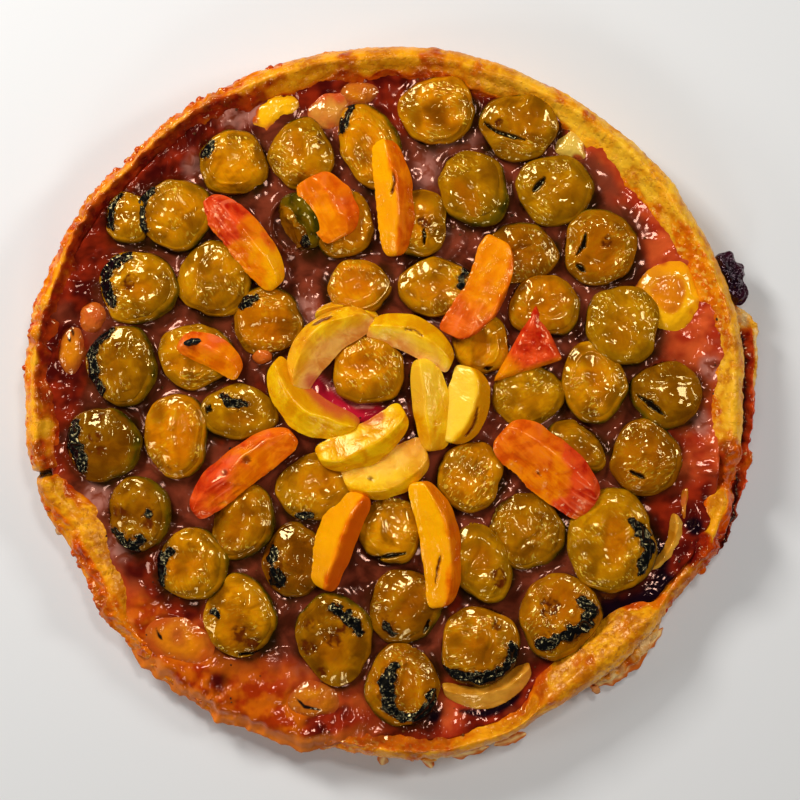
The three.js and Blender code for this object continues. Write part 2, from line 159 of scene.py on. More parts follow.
# Where jam lies over the rim from outside and from inside, and where the pastry is torn open,
# toasted, pale or burnt: direction in degrees, spread and strength
JAM_OUTSIDE = [
    (138, 30, 1.1), (176, 14, 0.45), (206, 12, 0.7), (240, 22, 1.3), (-10, 4, 1.2), (-21, 6.5, 1.2),
    (-95, 14, 0.2),
]
JAM_OVER = [(-10.6, 3.4, 1.6), (-24.6, 1.5, 1.5), (239, 22, 1.4)]
ORANGE_JAM = [(30, 38, 1.0), (239, 26, 0.6), (-92, 22, 0.5)]
ORANGE_OUTSIDE = [(140, 32, 0.7), (174, 14, 0.9)]
JAM_INSIDE = [
    (22, 9, 0.8), (-10, 3.4, 2.0), (-25, 3.0, 1.9), (-36, 2, 0.8), (140, 34, 1.1), (180, 14, 0.5),
    (241, 21, 1.3), (-90, 16, 0.8), (0, 40, 0.1),
]
DEEP_JAM = [(-10, 4, 0.7), (-24, 5, 1.0), (140, 34, 0.85), (180, 18, 0.3), (-90, 14, 0.6)]
TORN = [(-47, 9, 1.0), (-71, 4, 0.8), (-84, 5, 0.8), (14, 2.2, 0.8), (-9, 2, 0.5), (222, 12, 0.2)]
TORN_EDGE = [(8, 6, 1.2)]
BARE = [(207, 11, 1.0), (-51, 11, 1.0)]
TOASTED = [(-50, 13, 0.7), (205, 15, 0.55), (8, 6, 0.45), (-31, 6, 1.0), (95, 10, 0.2), (40, 3, 0.5)]
PALE = [(45, 26, 1.0), (2, 14, 0.8), (178, 12, 0.4)]
BURNT = [(20.5, 4, 1.2)]


def clamped(value):
    """The value kept between 0 and 1."""
    return np.clip(value, 0, 1)


def turn_angles(count):
    """So many directions spread evenly round a full turn."""
    return np.linspace(0, 2 * math.pi, count, endpoint=False)


def around(stretches, angle):
    """The sum of flat-topped bells round the ring: by * exp(-(degrees away / spread)^4)."""
    degrees = np.degrees(angle)
    total = np.zeros_like(degrees)
    for at, spread, by in stretches:
        away = (degrees - at + 180) % 360 - 180
        total = total + by * np.exp(-((away / spread) ** 4))
    return total


def waver(angle, phase):
    """A small uneven waver round the ring: three sines of 9, 17 and 34 turns, -1 to 1."""
    slow = np.sin(9 * angle + phase)
    middle = np.sin(17 * angle + 2.3 * phase)
    quick = np.sin(34 * angle + 4.1 * phase)
    return 0.45 * slow + 0.3 * middle + 0.25 * quick


# Large odd numbers that mix a place and a seed into a random number
MIX_X, MIX_Y, MIX_Z, MIX_SEED, MIX_LAST = 73856093, 19349663, 83492791, 9973, 1274126177


def grain(places, size, seed):
    """A smooth random field: random numbers at whole-number places of places / size, blended by the
    quintic 6t^5 - 15t^4 + 10t^3 along each axis. The result is between -1 and 1."""
    scaled = np.asarray(places, float) / size
    low = np.floor(scaled).astype(np.int64)
    t = scaled - low
    t = t * t * t * (t * (t * 6 - 15) + 10)
    total = np.zeros(scaled.shape[:-1])
    for corner in range(8):
        step = np.array([corner & 1, corner >> 1 & 1, corner >> 2 & 1])
        cell = low + step
        mixed = cell[..., 0] * MIX_X ^ cell[..., 1] * MIX_Y ^ cell[..., 2] * MIX_Z ^ seed * MIX_SEED
        mixed = (mixed ^ mixed >> 13) * MIX_LAST
        mixed = mixed ^ mixed >> 16
        weight = np.prod(np.where(step == 1, t, 1 - t), axis=-1)
        total += weight * ((mixed & 0xFFFF) / 32767.5 - 1)
    return total


def rough(places, size, seed, layers=3):
    """Layers of grain, each half the size and half the height of the one before."""
    return sum(0.5**layer * grain(places, size * 0.5**layer, seed + layer) for layer in range(layers))


def creased(places, size, seed, layers=2):
    """Narrow-topped creases: one minus twice the size of the grain, a little rounded, in layers."""
    total = 0
    for layer in range(layers):
        field = grain(places, size * 0.5**layer, seed + layer)
        total = total + 0.5**layer * (1 - 2 * np.sqrt(field**2 + 0.004))
    return total


def bell(value, width):
    """exp(-(value / width)^2)."""
    return np.exp(-((value / width) ** 2))


def step_up(value, low, high):
    """0 below low, 1 above high, and the smooth cubic 3t^2 - 2t^3 between."""
    t = clamped((value - low) / (high - low))
    return t * t * (3 - 2 * t)


def put_mesh(name, places, quads, triangles, marks):
    """A smooth mesh object from points in millimetres, four-cornered and three-cornered faces, and
    named numbers at the points that its finish reads."""
    mesh = bpy.data.meshes.new(name)
    points = (np.asarray(places).reshape(-1, 3) / 1000).astype(np.float32)
    mesh.vertices.add(len(points))
    mesh.vertices.foreach_set("co", points.ravel())
    corners = np.concatenate([np.ravel(quads), np.ravel(triangles)]).astype(np.int32)
    starts = np.concatenate([np.arange(len(quads)) * 4, len(quads) * 4 + np.arange(len(triangles)) * 3])
    mesh.loops.add(len(corners))
    mesh.loops.foreach_set("vertex_index", corners)
    mesh.polygons.add(len(starts))
    mesh.polygons.foreach_set("loop_start", starts.astype(np.int32))
    mesh.update(calc_edges=True)
    mesh.shade_smooth()
    for mark, values in marks.items():
        layer = mesh.attributes.new(mark, "FLOAT", "POINT")
        layer.data.foreach_set("value", np.ravel(values).astype(np.float32))
    made = bpy.data.objects.new(name, mesh)
    bpy.context.scene.collection.objects.link(made)
    return made


def closed_faces(rings, sides):
    """The faces of a closed skin that starts at a point, goes up through rings of so many sides and
    ends at a point: four-cornered between the rings, three-cornered at both ends."""
    ring = np.arange(sides)
    ahead = (ring + 1) % sides
    start = 1 + np.arange(rings - 1)[:, None] * sides
    quads = np.stack([start + ring, start + ahead, start + sides + ahead, start + sides + ring], -1)
    last = 1 + (rings - 1) * sides
    below = np.stack([0 * ring, 1 + ahead, 1 + ring], -1)
    above = np.stack([last + ring, last + ahead, 0 * ring + last + sides], -1)
    return quads.reshape(-1, 4), np.vstack([below, above])


def turned_mesh(name, rings, marks):
    """A closed skin from rings of points, bottom first, each anticlockwise from above. The first and
    last rings are single points on the axis, closed by fans."""
    places = np.vstack([rings[0, :1], rings[1:-1].reshape(-1, 3), rings[-1, :1]])
    flat = {k: np.concatenate([v[0, :1], v[1:-1].ravel(), v[-1, :1]]) for k, v in marks.items()}
    return put_mesh(name, places, *closed_faces(len(rings) - 2, rings.shape[1]), flat)


def finish_piece(made, material, node=None):
    """Gives a piece its finish and its body, and hides the plain solid that it replaces."""
    made.data.materials.append(material)
    if node:
        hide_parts(node)
    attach(made, "root")


def smooth_rows(rows, counts):
    """Points on a curve through the rows, by Catmull-Rom: rows is (row, angle, 2) and counts says how
    many points each stretch between two rows gets."""
    padded = np.concatenate([rows[:1], rows, rows[-1:]])
    stretches = []
    for i, count in enumerate(counts):
        a, b, c, d = padded[i : i + 4]
        t = (np.arange(count) / count)[:, None, None]
        curve = 2 * b + (c - a) * t + (2 * a - 5 * b + 4 * c - d) * t**2 + (3 * b - a - 3 * c + d) * t**3
        stretches.append(0.5 * curve)
    return np.concatenate([*stretches, rows[-1:]])


def math_sign(operation, turned_round=False):
    """What a sign does on a wire: it adds a Math node fed by the wire and what stands beside it."""

    def add_node(wire, other):
        first, second = (other, wire) if turned_round else (wire, other)
        return wire.finish.node("ShaderNodeMath", {"operation": operation}, {0: first, 1: second})

    return add_node


class Wire:
    """One socket of a material's nodes. The signs + - * on it add Math nodes."""

    def __init__(self, finish, socket):
        self.finish = finish
        self.socket = socket

    __add__, __radd__ = math_sign("ADD"), math_sign("ADD", True)
    __sub__, __rsub__ = math_sign("SUBTRACT"), math_sign("SUBTRACT", True)
    __mul__, __rmul__ = math_sign("MULTIPLY"), math_sign("MULTIPLY", True)


class Finish:
    """A material for one kind of surface, and the ways its nodes are added. Sizes are millimetres."""

    def __init__(self, name, **fixed):
        self.material = bpy.data.materials.new(name)
        self.material.use_nodes = True
        self.nodes = self.material.node_tree.nodes
        self.links = self.material.node_tree.links
        self.shader = self.nodes["Principled BSDF"]
        self.surface(**fixed)
        self.place = self.node("ShaderNodeTexCoord", {}, {}, "Object")

    def surface(self, **values):
        """Sets or feeds the shader's own sockets, and gives the material."""
        for socket, value in values.items():
            self.feed(self.shader.inputs[socket.replace("_", " ")], value)
        return self.material

    def feed(self, socket, value):
        """Links a wire to a socket, or sets the socket's own value."""
        if isinstance(value, Wire):
            self.links.new(value.socket, socket)
        elif isinstance(value, tuple) and len(value) == 3 and len(socket.default_value) == 4:
            socket.default_value = (*value, 1)
        else:
            socket.default_value = value

    def node(self, kind, settings, inputs, output=0):
        made = self.nodes.new(kind)
        for setting, value in settings.items():
            setattr(made, setting, value)
        for socket, value in inputs.items():
            self.feed(made.inputs[socket], value)
        return Wire(self, made.outputs[output])

    def mark(self, name):
        return self.node("ShaderNodeAttribute", {"attribute_name": name}, {}, "Fac")

    def mix(self, first, second, share):
        return self.node("ShaderNodeMix", {"data_type": "RGBA"}, {"Factor": share, 6: first, 7: second}, 2)

    def mottled(self, first, second, pattern, low, high):
        """One colour where the pattern is low, the other where it is high."""
        return self.mix(first, second, self.between(pattern, low, high))

    def coats(self, base, *coats):
        """A base colour with coats over it, each a colour and how much of it covers what is below."""
        for colour, share in coats:
            base = self.mix(base, colour, share)
        return base

    def noise(self, size, detail=3.0, roughness=0.55, warp=0.0):
        inputs = {"Vector": self.place, "Scale": 1000 / size, "Detail": detail, "Roughness": roughness}
        return self.node("ShaderNodeTexNoise", {}, {**inputs, "Distortion": warp}, "Fac")

    def streaks(self, long, wide):
        """Noise drawn out along the piece's own length, which its marks give."""
        place = {0: self.mark("along") * (1 / long), 1: self.mark("across") * (1 / wide)}
        place = self.node("ShaderNodeCombineXYZ", {}, place)
        inputs = {"Vector": place, "Scale": 1.0, "Detail": 1.0, "Distortion": 0.4}
        return self.node("ShaderNodeTexNoise", {}, inputs, "Fac")

    def cells(self, size):
        inputs = {"Vector": self.place, "Scale": 1000 / size}
        return self.node("ShaderNodeTexVoronoi", {}, inputs, "Distance")

    def between(self, value, low, high, bottom=0.0, top=1.0):
        inputs = {"Value": value, 1: low, 2: high, 3: bottom, 4: top}
        return self.node("ShaderNodeMapRange", {"interpolation_type": "SMOOTHSTEP"}, inputs)

    def bump(self, height, depth, strength=0.9):
        inputs = {"Height": height, "Distance": depth / 1000, "Strength": strength}
        return self.node("ShaderNodeBump", {}, inputs)


def pastry_finish():
    """Baked shortcrust: golden, toasted brown in patches, cream where torn, with glossy red jam."""
    f = Finish("baked_pastry", IOR=1.45, Specular_IOR_Level=0.5, Specular_Tint=(1, 0.75, 0.4))
    jam = f.mark("jam")
    fine = f.noise(2.6, 3, 0.6)
    pits = f.between(f.noise(2.2, 1.5), 0.54, 0.66)
    crust = f.coats(
        f.mottled((0.60, 0.165, 0.0012), (0.96, 0.36, 0.005), f.noise(14, 3), 0.36, 0.62),
        ((1.0, 0.52, 0.022), f.mark("pale") * f.between(f.noise(8, 3), 0.35, 0.6)),
        ((0.34, 0.080, 0.002), f.between(fine * 0.6 + f.mark("toasted") * 0.3, 0.38, 0.8)),
        ((0.40, 0.085, 0.001), pits * (0.10 + 0.55 * f.mark("toasted"))),
        ((1.0, 0.50, 0.010), f.between(fine, 0.5, 0.36) * 0.4),
        ((0.88, 0.60, 0.24), f.mark("torn") * f.between(fine, 0.3, 0.55)),
    )
    red = f.mottled((0.42, 0.018, 0.001), (0.74, 0.095, 0.002), f.noise(5, 2), 0.36, 0.64)
    orange = f.mottled((0.78, 0.15, 0.001), (0.98, 0.32, 0.004), f.noise(4, 2), 0.4, 0.6)
    # orange glaze with pale specks: painted glints
    glaze = f.coats(orange, ((1.0, 0.60, 0.08), f.between(f.noise(1.9, 1), 0.58, 0.68) * 0.7))
    # brighter red on the skirt: partly painted light, lifted to make up for the crust's shade over it
    skirt = f.mottled((0.44, 0.018, 0.004), (0.90, 0.085, 0.010), f.noise(6, 2), 0.35, 0.55)
    dark = f.mottled((0.12, 0.004, 0.003), (0.36, 0.020, 0.003), f.noise(6, 2), 0.4, 0.7)
    jam_colour = f.coats(
        f.mottled((0.80, 0.20, 0.001), red, jam, 0.3, 0.9),
        (glaze, f.mark("glaze") * 0.85),
        (skirt, f.mark("skirt")),
        (dark, f.mark("deep") * (1 - f.mark("skirt"))),
    )
    thick_jam = f.between(jam, 0.02, 0.5)
    # The burnt mark is partly real burnt jam, and partly painted shade in the crack and in the groove behind
    # the skirt
    colour = f.coats(crust, (jam_colour, thick_jam), ((0.005, 0.002, 0.004), f.mark("burnt")))
    lumps = (1 - f.cells(3.4)) * 0.5 + f.noise(3.2, 1) * 0.5
    plain = f.noise(3.6, 2) * 0.6 + f.noise(9, 1) * 0.8 - pits * 0.16
    height = f.between(jam, 0.2, 0.8) * lumps + (1 - jam) * plain
    return f.surface(Base_Color=colour, Roughness=0.32 - 0.24 * jam, Normal=f.bump(height, 1.0))


def shell_rings():
    """The shell's section carried round the axis: rows of radius and height joined by a smooth curve,
    pushed out along its normal by rough and creased fields."""
    angle = turn_angles(SHELL_SIDES)
    outer = RIM_RADIUS + around(RIM_SWELLS, angle) + 0.7 * waver(angle, 1)
    width = RIM_WIDTH + around(WIDTH_CHANGES, angle) + 0.8 * waver(angle, 2)
    crest = RIM_CREST + around(CREST_CHANGES, angle) + 0.7 * waver(angle, 3)
    shoulder = crest - SHOULDER_DROP
    skirt = around(SKIRT_SWELLS, angle) * (1 + 0.2 * waver(angle, 5))
    groove = np.minimum(GROOVE_HEIGHT - 0.4 * skirt, shoulder - 2)
    skirt_top = np.minimum(SKIRT_TOP, groove - 2 + 0.4 * skirt)
    zero = np.zeros_like(angle)
    rows = np.array([
        [zero, zero],
        [outer - WALL_SLOPE - 7, zero],
        [outer - WALL_SLOPE - 6, zero],
        [outer - WALL_SLOPE, zero],
        [outer - WALL_SLOPE * 0.62, zero + FOOT_HEIGHT],
        [outer - WALL_SLOPE * 0.3 + skirt * 0.9, skirt_top * 0.6],
        [outer - WALL_SLOPE * 0.18 + skirt, skirt_top],
        [outer - WALL_SLOPE * 0.12 + skirt * 0.15, groove],
        [outer, shoulder],
        [outer - width * 0.45, crest],
        [outer - width * 0.86, shoulder + 1.0],
        [outer - width - 2.0, shoulder * 0.35 + LEVEL * 0.65 + 0.4],
        [outer - width - 6.0, zero + LEVEL - 4],
        [outer - width - 8.5, zero + BASE_THICKNESS + 0.6],
        [outer - width - 12, zero + BASE_THICKNESS],
        [zero, zero + BASE_THICKNESS],
    ]).transpose(0, 2, 1)
    curve = np.maximum(smooth_rows(rows, SECTION_POINTS), 0)
    radius, height = curve[..., 0], curve[..., 1]
    places = np.stack([radius * np.cos(angle), radius * np.sin(angle), height], -1)
    along = np.gradient(radius, axis=0), np.gradient(height, axis=0)
    size = np.hypot(*along) + 1e-9
    out_radius, out_height = along[1] / size, -along[0] / size
    rim_part = step_up(height, 6, 12) * step_up(radius, RIM_RADIUS - 22, RIM_RADIUS - 16)
    push = 0.45 * rough(places, 14, 11, 2) + 0.22 * rough(places, 3.2, 21, 2)
    ripple = np.sin(260 * angle + 3 * grain(places, 20, 5)) * 0.10
    flaky = 0.35 * creased(places * [1, 1, 3.0], 7, 31)
    wall = step_up(radius - outer, -8, -2) * step_up(shoulder + 1 - height, -1, 3)
    push = (push + ripple) * rim_part + flaky * wall
    torn = clamped(around(TORN, angle) * step_up(radius - outer, -2.5, 1.5) * 1.2)
    push = push + torn * 0.9 * creased(places, 3.5, 41)
    arc = ((np.degrees(angle) - CRACK["at"] + 180) % 360 - 180) * math.pi / 180 * RIM_RADIUS
    arc = arc + 1.1 * grain(places, 5, 71)
    open_up = bell(arc, CRACK["half_width"]) * step_up(radius - outer, -CRACK["reach"], -CRACK["reach"] + 5)
    places[..., 0] += push * out_radius * np.cos(angle)
    places[..., 1] += push * out_radius * np.sin(angle)
    lift = push * out_height - open_up * np.minimum(CRACK["depth"], np.maximum(places[..., 2] - 8, 0))
    places[..., 2] = np.maximum(places[..., 2] + lift, 0)
    places[0] = [0, 0, 0]
    places[-1] = [0, 0, BASE_THICKNESS]
    patch = rough(places, 9, 51)
    side = step_up(radius - outer + width * 0.45, -2.5, 2.5)
    outside = around(JAM_OUTSIDE, angle) * step_up(radius - outer + width * 0.45, -0.6, 2.6)
    inside = around(JAM_INSIDE, angle) * (1 - side)
    stain_top = LEVEL + 6.5 - 2.5 * clamped(around(PALE, angle))
    stained = step_up(stain_top - height, 0, 6.0) * step_up(outer - radius, 3, 12)
    stained = stained * (1 - around(BARE, angle))
    inside = np.maximum(inside, stained + 0.15 * patch)
    torn_edge = around(TORN_EDGE, angle) * step_up(radius - outer - 0.66 * skirt, -0.3, 0.9)
    torn = np.maximum(torn, clamped(torn_edge))
    ragged = skirt + 2.4 * rough(places, 8, 57, 2)
    ragged_height = height + 1.6 * rough(places, 7, 59)
    skirt_jam = step_up(ragged, 1.5, 5) * step_up(GROOVE_HEIGHT - ragged_height, -1.5, 1) * (1 - torn)
    outside = np.maximum(outside, around(JAM_OVER, angle))
    low_wall = 0.25 * step_up(14 - height, 0, 6)
    jam = np.maximum(outside, inside) + 0.40 * patch + 0.18 * rough(places, 4, 53, 2) - low_wall
    jam = np.maximum(step_up(jam, 0.0, 1.0), skirt_jam) * step_up(height, 0.5, 3)
    below = step_up(shoulder - 1.5 - height, -1, 1)
    # The gap between the crust and the skirt, near black: painted shade in the groove
    gap = step_up(skirt, 2.5, 4.5) * bell(radius - outer - 2.0, 1.8) * below
    burnt = np.maximum(gap * (1 - torn), around(BURNT, angle) * step_up(radius - outer, -0.5, 1.0))
    # Inside the crack, near black: painted shade
    crack_shade = step_up(open_up, 0.3, 0.7) * step_up(crest - 3 - places[..., 2], 0, 3) * step_up(height, 7, 9)
    burnt = np.maximum(burnt, crack_shade)
    beads = creased(places, 4.2, 81) * jam * step_up(height, 5, 9) * (1 + 0.9 * clamped(outside))
    lifted = skirt_jam * step_up(height, 2, 5)
    places[1:-1, :, 2] += (2.1 * creased(places, 3.2, 85, 1) * lifted)[1:-1]
    push = np.stack([0.55 * beads * np.cos(angle), 0.55 * beads * np.sin(angle), 0.35 * beads], -1)
    places[1:-1] += push[1:-1]
    places[..., 2] = np.maximum(places[..., 2], 0)
    glaze = around(ORANGE_JAM, angle) + around(ORANGE_OUTSIDE, angle) * side + 0.3 * patch
    marks = {
        "jam": jam,
        "deep": clamped(around(DEEP_JAM, angle) * (1 - side) + 0.4 * patch),
        "torn": torn * step_up(rough(places, 5, 61), -0.35, 0.25),
        "toasted": clamped(around(TOASTED, angle) + 0.5 * open_up + 0.3 * step_up(8 - height, 0, 6)),
        "pale": clamped(around(PALE, angle)) + 0 * height,
        "burnt": clamped(burnt),
        "glaze": clamped(glaze) * (1 - skirt_jam),
        "skirt": skirt_jam,
    }
    return places, marks


shell_places, shell_marks = shell_rings()
shell = turned_mesh("pastry_shell_crust", shell_places, shell_marks)
finish_piece(shell, pastry_finish(), "pastry_shell")


# The custard and jam. Custard poured round the fruit and stained by its juice, with painted shadow
# next to each piece, deepest at its lower right, mauve patches of painted sheen and a painted highlight
# line; set with a glossy film that climbs unevenly up each piece of fruit and up the rim, and jam that
# ran over the rim at the lower left. Fruit that sank almost to its top stands up under it as low mounds.
FILLING_STEPS = 300
# How far the film ends inside the rim, sinks under fruit and sags at the lip, and the roundness of a
# mound over sunk fruit
FILLING_INSET = 7
UNDER_FRUIT = -2.5
LIP_SAG = 6.5
SUNK_FLATNESS = 2.6
# The lip hangs down in rows: how far each drops and how far it goes in
DRIP_ROWS = [(1.0, -0.3), (2.4, 0.0), (3.4, 0.9), (4.0, 2.4)]
OVERFLOW_REACH = 9.0
# Where the filling hangs over the rim, where it climbs the rim, and where it is dark red, black, orange,
# raspberry, mauve with painted sheen, or pale with a painted highlight line: directions as above, places
# on the tart with a size, or lines through places
OVERFLOW = [(238.5, 22.5, 1.35)]
RIM_CLIMB = [(140, 34, 3.6), (182, 16, 2.4), (12, 16, 3.0), (-14, 10, 3.4), (-30, 9, 2.0), (-92, 20, 2.5)]
DEEP_STAINS = [
    (-107, 88, 20), (-122, 58, 13), (-90, 112, 15), (-62, 128, 13), (-28, 131, 12), (2, 118, 9),
    (2, 133, 9), (36, 128, 9), (-134, 18, 12), (-134, -12, 10), (-50, 8, 7), (-14, -4, 8), (-86, -82, 7),
    (130, -32, 16), (122, -60, 16), (100, -88, 13), (104, -45, 6), (72, -112, 13), (90, -98, 9),
    (-26, -130, 10), (38, -129.5, 8), (27, -82, 5), (-97, -62, 6), (-70, -14, 4), (2, -94, 5),
    (118, 74, 4), (24, -100, 4), (-104, -66, 7), (-97, -77, 6), (12, -127, 10), (112, -46, 9),
    (-84.5, -84, 7), (-70, -113, 6),
]
BLACK_STAINS = [
    (98, -84, 12), (112, -74, 8), (100, -38, 6), (86, -92, 8), (110, -60, 7), (124, -50, 5),
    (18, -128, 4),
]
ORANGE_STAINS = [
    (124, 20, 17), (128, -4, 16), (126, 62, 10), (-100, -100, 22), (-88, -114, 24), (-55, -128, 26),
    (-15, -138, 18), (110, -8, 9), (-72, -108, 12), (10, -132, 14), (28, -118, 12), (112, -30, 6),
]
BERRY_STAINS = [(-31, 10, 5), (-26, 4, 5.5), (-19, -1, 5.5), (-11, -4, 5), (-5, -5, 4)]
# Mauve patches: painted sheen, a pale reflection on the glossy film put into its colour
MAUVE_SHEEN_PATCHES = [
    (-65, 117, 6), (-107, 68, 4), (-80, 99, 5.5), (-57, 123, 7), (16, 96, 9), (-34, 38, 8), (26, 110, 7),
    (112, 88, 7), (98, 44, 5), (-22, 118, 7), (120, 72, 6), (126, -6, 7), (131, 16, 4), (-122, -38, 7),
    (-112, -58, 7), (66, -4, 6), (62, -30, 6),
]
BLACK_CREASE = [(29, -125.3), (38, -126.4), (46, -123.8), (52.4, -119.6)]
# A pale pink line along the edge of the fruit near the middle: a painted highlight of the film's rim
PAINTED_HIGHLIGHT_LINE = [(-40.5, 19.7), (-33, 15), (-27.4, 10.3), (-20.8, 3.8), (-13.3, -0.9), (-7.7, -0.9)]
DEEP_BAND = [
    (140, 36, 0.9), (182, 14, 0.8), (86, 22, 0.9), (-32, 12, 1.3), (-62, 14, 0.8), (-92, 14, 0.6),
]
ORANGE_BAND = [(14, 24, 1.2), (-10, 10, 0.6), (52, 16, 0.4)]


def ellipse_reach(x, y, centre, half_length, half_width, turn):
    """How far a place is from an oval's middle, as a share of the oval's radius in that direction."""
    c, s = math.cos(math.radians(turn)), math.sin(math.radians(turn))
    dx, dy = x - centre[0], y - centre[1]
    return np.hypot((dx * c + dy * s) / half_length, (dy * c - dx * s) / half_width)


def node_middle(node):
    """The middle of a node's box and its half sizes, in millimetres."""
    low, high = (np.array(corner) * 1000 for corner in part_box(node))
    return (low + high) / 2, (high - low) / 2


def plum(turn, ratio, lean, towards, shade=0.15, char=(), spots=(), slits=()):
    """One row of the tables of plum halves, with nothing where a half has no such marks."""
    return turn, ratio, lean, towards, shade, char, spots, slits


# Plum halves by the number of their node: direction of the length, length over width, lean in degrees
# and the way it leans, and how much darker it is; then strokes of char, round scorched spots, and slits.
# Strokes and slits are a width and the places they run through, spots are a place and a radius, all
# from the middle of the plum
PLUMS = {
    1: plum(0, 1.08, 6, 300, 0.05, char=[(2.8, [(-8.2, 8.5), (-10.9, 4.6), (-12.3, 2.7)])]),
    2: plum(90, 1.08, 4, 250, spots=[(8.7, 6.7, 1.6)]),
    3: plum(112, 1.5, 12, 200, 0.0, char=[(2.4, [(-7.1, 16.5), (-8.1, 13.1), (-10.2, 9), (-11.2, 6.2)])]),
    4: plum(10, 1.15, 5, 240, 0.0),
    5: plum(0, 1.12, 6, 270, 0.3, spots=[(-9, 1, 1.3)],
        slits=[(1.3, [(-14, 1.7), (-9.6, -2.1), (-3.4, -3.8), (2.1, -5.5)])]),
    6: plum(118, 1.18, 14, 140, 0.2),
    7: plum(0, 1.07, 6, 200, 0.2, slits=[(2.4, [(-4.6, 4.3), (-8.7, -0.6)])]),
    8: plum(90, 1.07, 8, 230, 0.3, spots=[(2.6, 1.9, 1.4)],
        slits=[(1.6, [(-6.2, 5.5), (-6.6, 0.7), (-9.6, -3)]), (2, [(-9.4, -7.2), (-6, -9.8)])]),
    9: plum(0, 1.16, 5, 260, 0.45),
    10: plum(115, 1.12, 50, 210, 0.5, char=[(2.6, [(4.2, -5.8), (3.8, -8.6)])]),
    11: plum(0, 1.07, 8, 150, char=[(4.4, [(-3.1, 13.1), (-7.9, 11.7), (-12, 7.6), (-13.1, 2.7),
        (-11.4, -4.1), (-10, -6.2)])], spots=[(-3.1, 2.1, 2.4)]),
    12: plum(0, 1.0, 5, 200),
    13: plum(0, 1.13, 4, 90, 0.0),
    14: plum(90, 1.1, 5, 60),
    15: plum(0, 1.04, 8, 240, char=[(4.4, [(-4.6, 10.2), (-10, 6.6)])]),
    16: plum(100, 1.16, 10, 180, 0.4,
        char=[(4, [(-4.5, 14.4), (-10, 10.3), (-12.4, 3.4), (-11.3, -4.8), (-7.9, -11)])],
        spots=[(-1, 7.6, 1.1)]),
    17: plum(90, 1.1, 5, 300, 0.05, slits=[(1.2, [(1.5, -10.2), (4.6, -9.4)])]),
    18: plum(100, 1.27, 8, 120),
    19: plum(0, 1.1, 4, 250, 0.05),
    20: plum(0, 1.07, 9, 60, 0.5, slits=[(2, [(-13.4, -0.2), (-8, -4), (-1.5, -9.1)])]),
    21: plum(0, 1.04, 4, 100, 0.0),
    22: plum(90, 1.35, 5, 180, 0.0, spots=[(-2.7, -13, 1)]),
    23: plum(0, 1.4, 6, 60, char=[(3.2, [(-6.5, 6.4), (-2.5, 3.4), (3, 4)])],
        slits=[(3.6, [(-13, 1.5), (-11.5, 0.8)])]),
    24: plum(0, 1.03, 13, 180, 0.6,
        char=[(6.2, [(-11.6, 8.4), (-12.3, 0.8), (-9.5, -4.7), (-8.2, -10.2)])],
        spots=[(-2.7, 2.9, 1.8), (0.1, -2, 1.6), (-2, 11.5, 2)]),
    25: plum(70, 1.12, 4, 20, 0.05),
    26: plum(-38, 1.7, 20, 50, 0.35, slits=[(1.4, [(-12, 2), (-5, -5), (2, -9)])]),
    27: plum(90, 1.1, 6, 200, 0.4, slits=[(1.6, [(-6.1, -5), (-0.6, -7.8)])]),
    28: plum(0, 1.15, 5, 120, char=[(3, [(-7.5, -11.4), (-2, -11.2)])]),
    29: plum(70, 1.28, 10, 150, 0.35),
    30: plum(95, 1.19, 12, 190, 0.5,
        char=[(4, [(-9.2, -7.2), (-5.8, -12), (-1, -13.6), (1.8, -9.9)]), (2, [(4, 0.8), (4.4, 0)])],
        spots=[(-7.2, 0.4, 2.6), (3.8, -4.4, 1.8)]),
    31: plum(90, 1.12, 6, 90, 0.1, slits=[(1.6, [(-10, -12.4), (-2.4, -11.1), (5.8, -9.7)])]),
    32: plum(90, 1.17, 5, 160, 0.1, char=[(4.6, [(8, 8.2), (13.5, 2.7), (15.4, -2.8), (11.7, -11.1)])]),
    33: plum(130, 1.07, 8, 150, 0.35),
    34: plum(0, 1.03, 8, 170, char=[(4.2, [(-8.4, 5.5), (-11.9, 2.7), (-12.9, -2.8), (-12, -7.6)])]),
    35: plum(90, 1.1, 6, 180, 0.6,
        char=[(3.4, [(-8.4, 5.4), (-9.4, -0.1)]), (5, [(-8.6, -3), (-7, -7.3), (-6, -9.8)])]),
    36: plum(110, 1.4, 6, 100, spots=[(6.4, -4.4, 2.2), (7.6, -7.7, 1.8)]),
    37: plum(95, 1.14, 6, 200, 0.1, char=[(3, [(-9.9, 3.4), (-9.4, 1)])],
        spots=[(-0.2, -6.9, 2.6), (5.3, -11, 2.4)],
        slits=[(1.5, [(-0.2, -15.6), (5.3, -15), (9.4, -13.4)])]),
    38: plum(0, 1.0, 8, 100,
        char=[(4.6, [(-14.2, -9.4), (-7.2, -12.8), (2, -13.4), (10.2, -10.4), (14.4, -4), (13, 0.6)])],
        spots=[(6.6, 8.9, 1.6)]),
    39: plum(45, 1.07, 8, 150, 0.45, char=[(3, [(-7.5, -6.7), (-5, -11)])],
        slits=[(1.4, [(10, -6), (8, -11)])]),
    40: plum(100, 1.23, 8, 250, 0.4, char=[(3.6, [(-0.5, 13.4), (7.7, 7.6), (10.5, 3.2)])],
        spots=[(-9.8, 6.4, 2), (-10.5, -3.2, 2.4), (-5, -13.6, 2.2), (-0.2, -0.5, 2.6), (3, 5, 1.8)]),
    41: plum(70, 1.1, 6, 120, 0.3,
        char=[(4.6, [(8, 5.9), (12.6, 3.2), (10.7, -3.3), (3.3, -7.8), (-4, -10.6), (-8.6, -11.8)])],
        spots=[(-4, 3.2, 3.4)]),
    42: plum(90, 1.1, 8, 60, 0.3, char=[(5, [(-3.3, 7.9), (-6.9, 1.5), (-5.3, -8.6), (0.4, -13.4)]),
        (4.4, [(0.4, -13.4), (6.7, -12.6), (11.3, -8), (12.6, -2)])]),
}
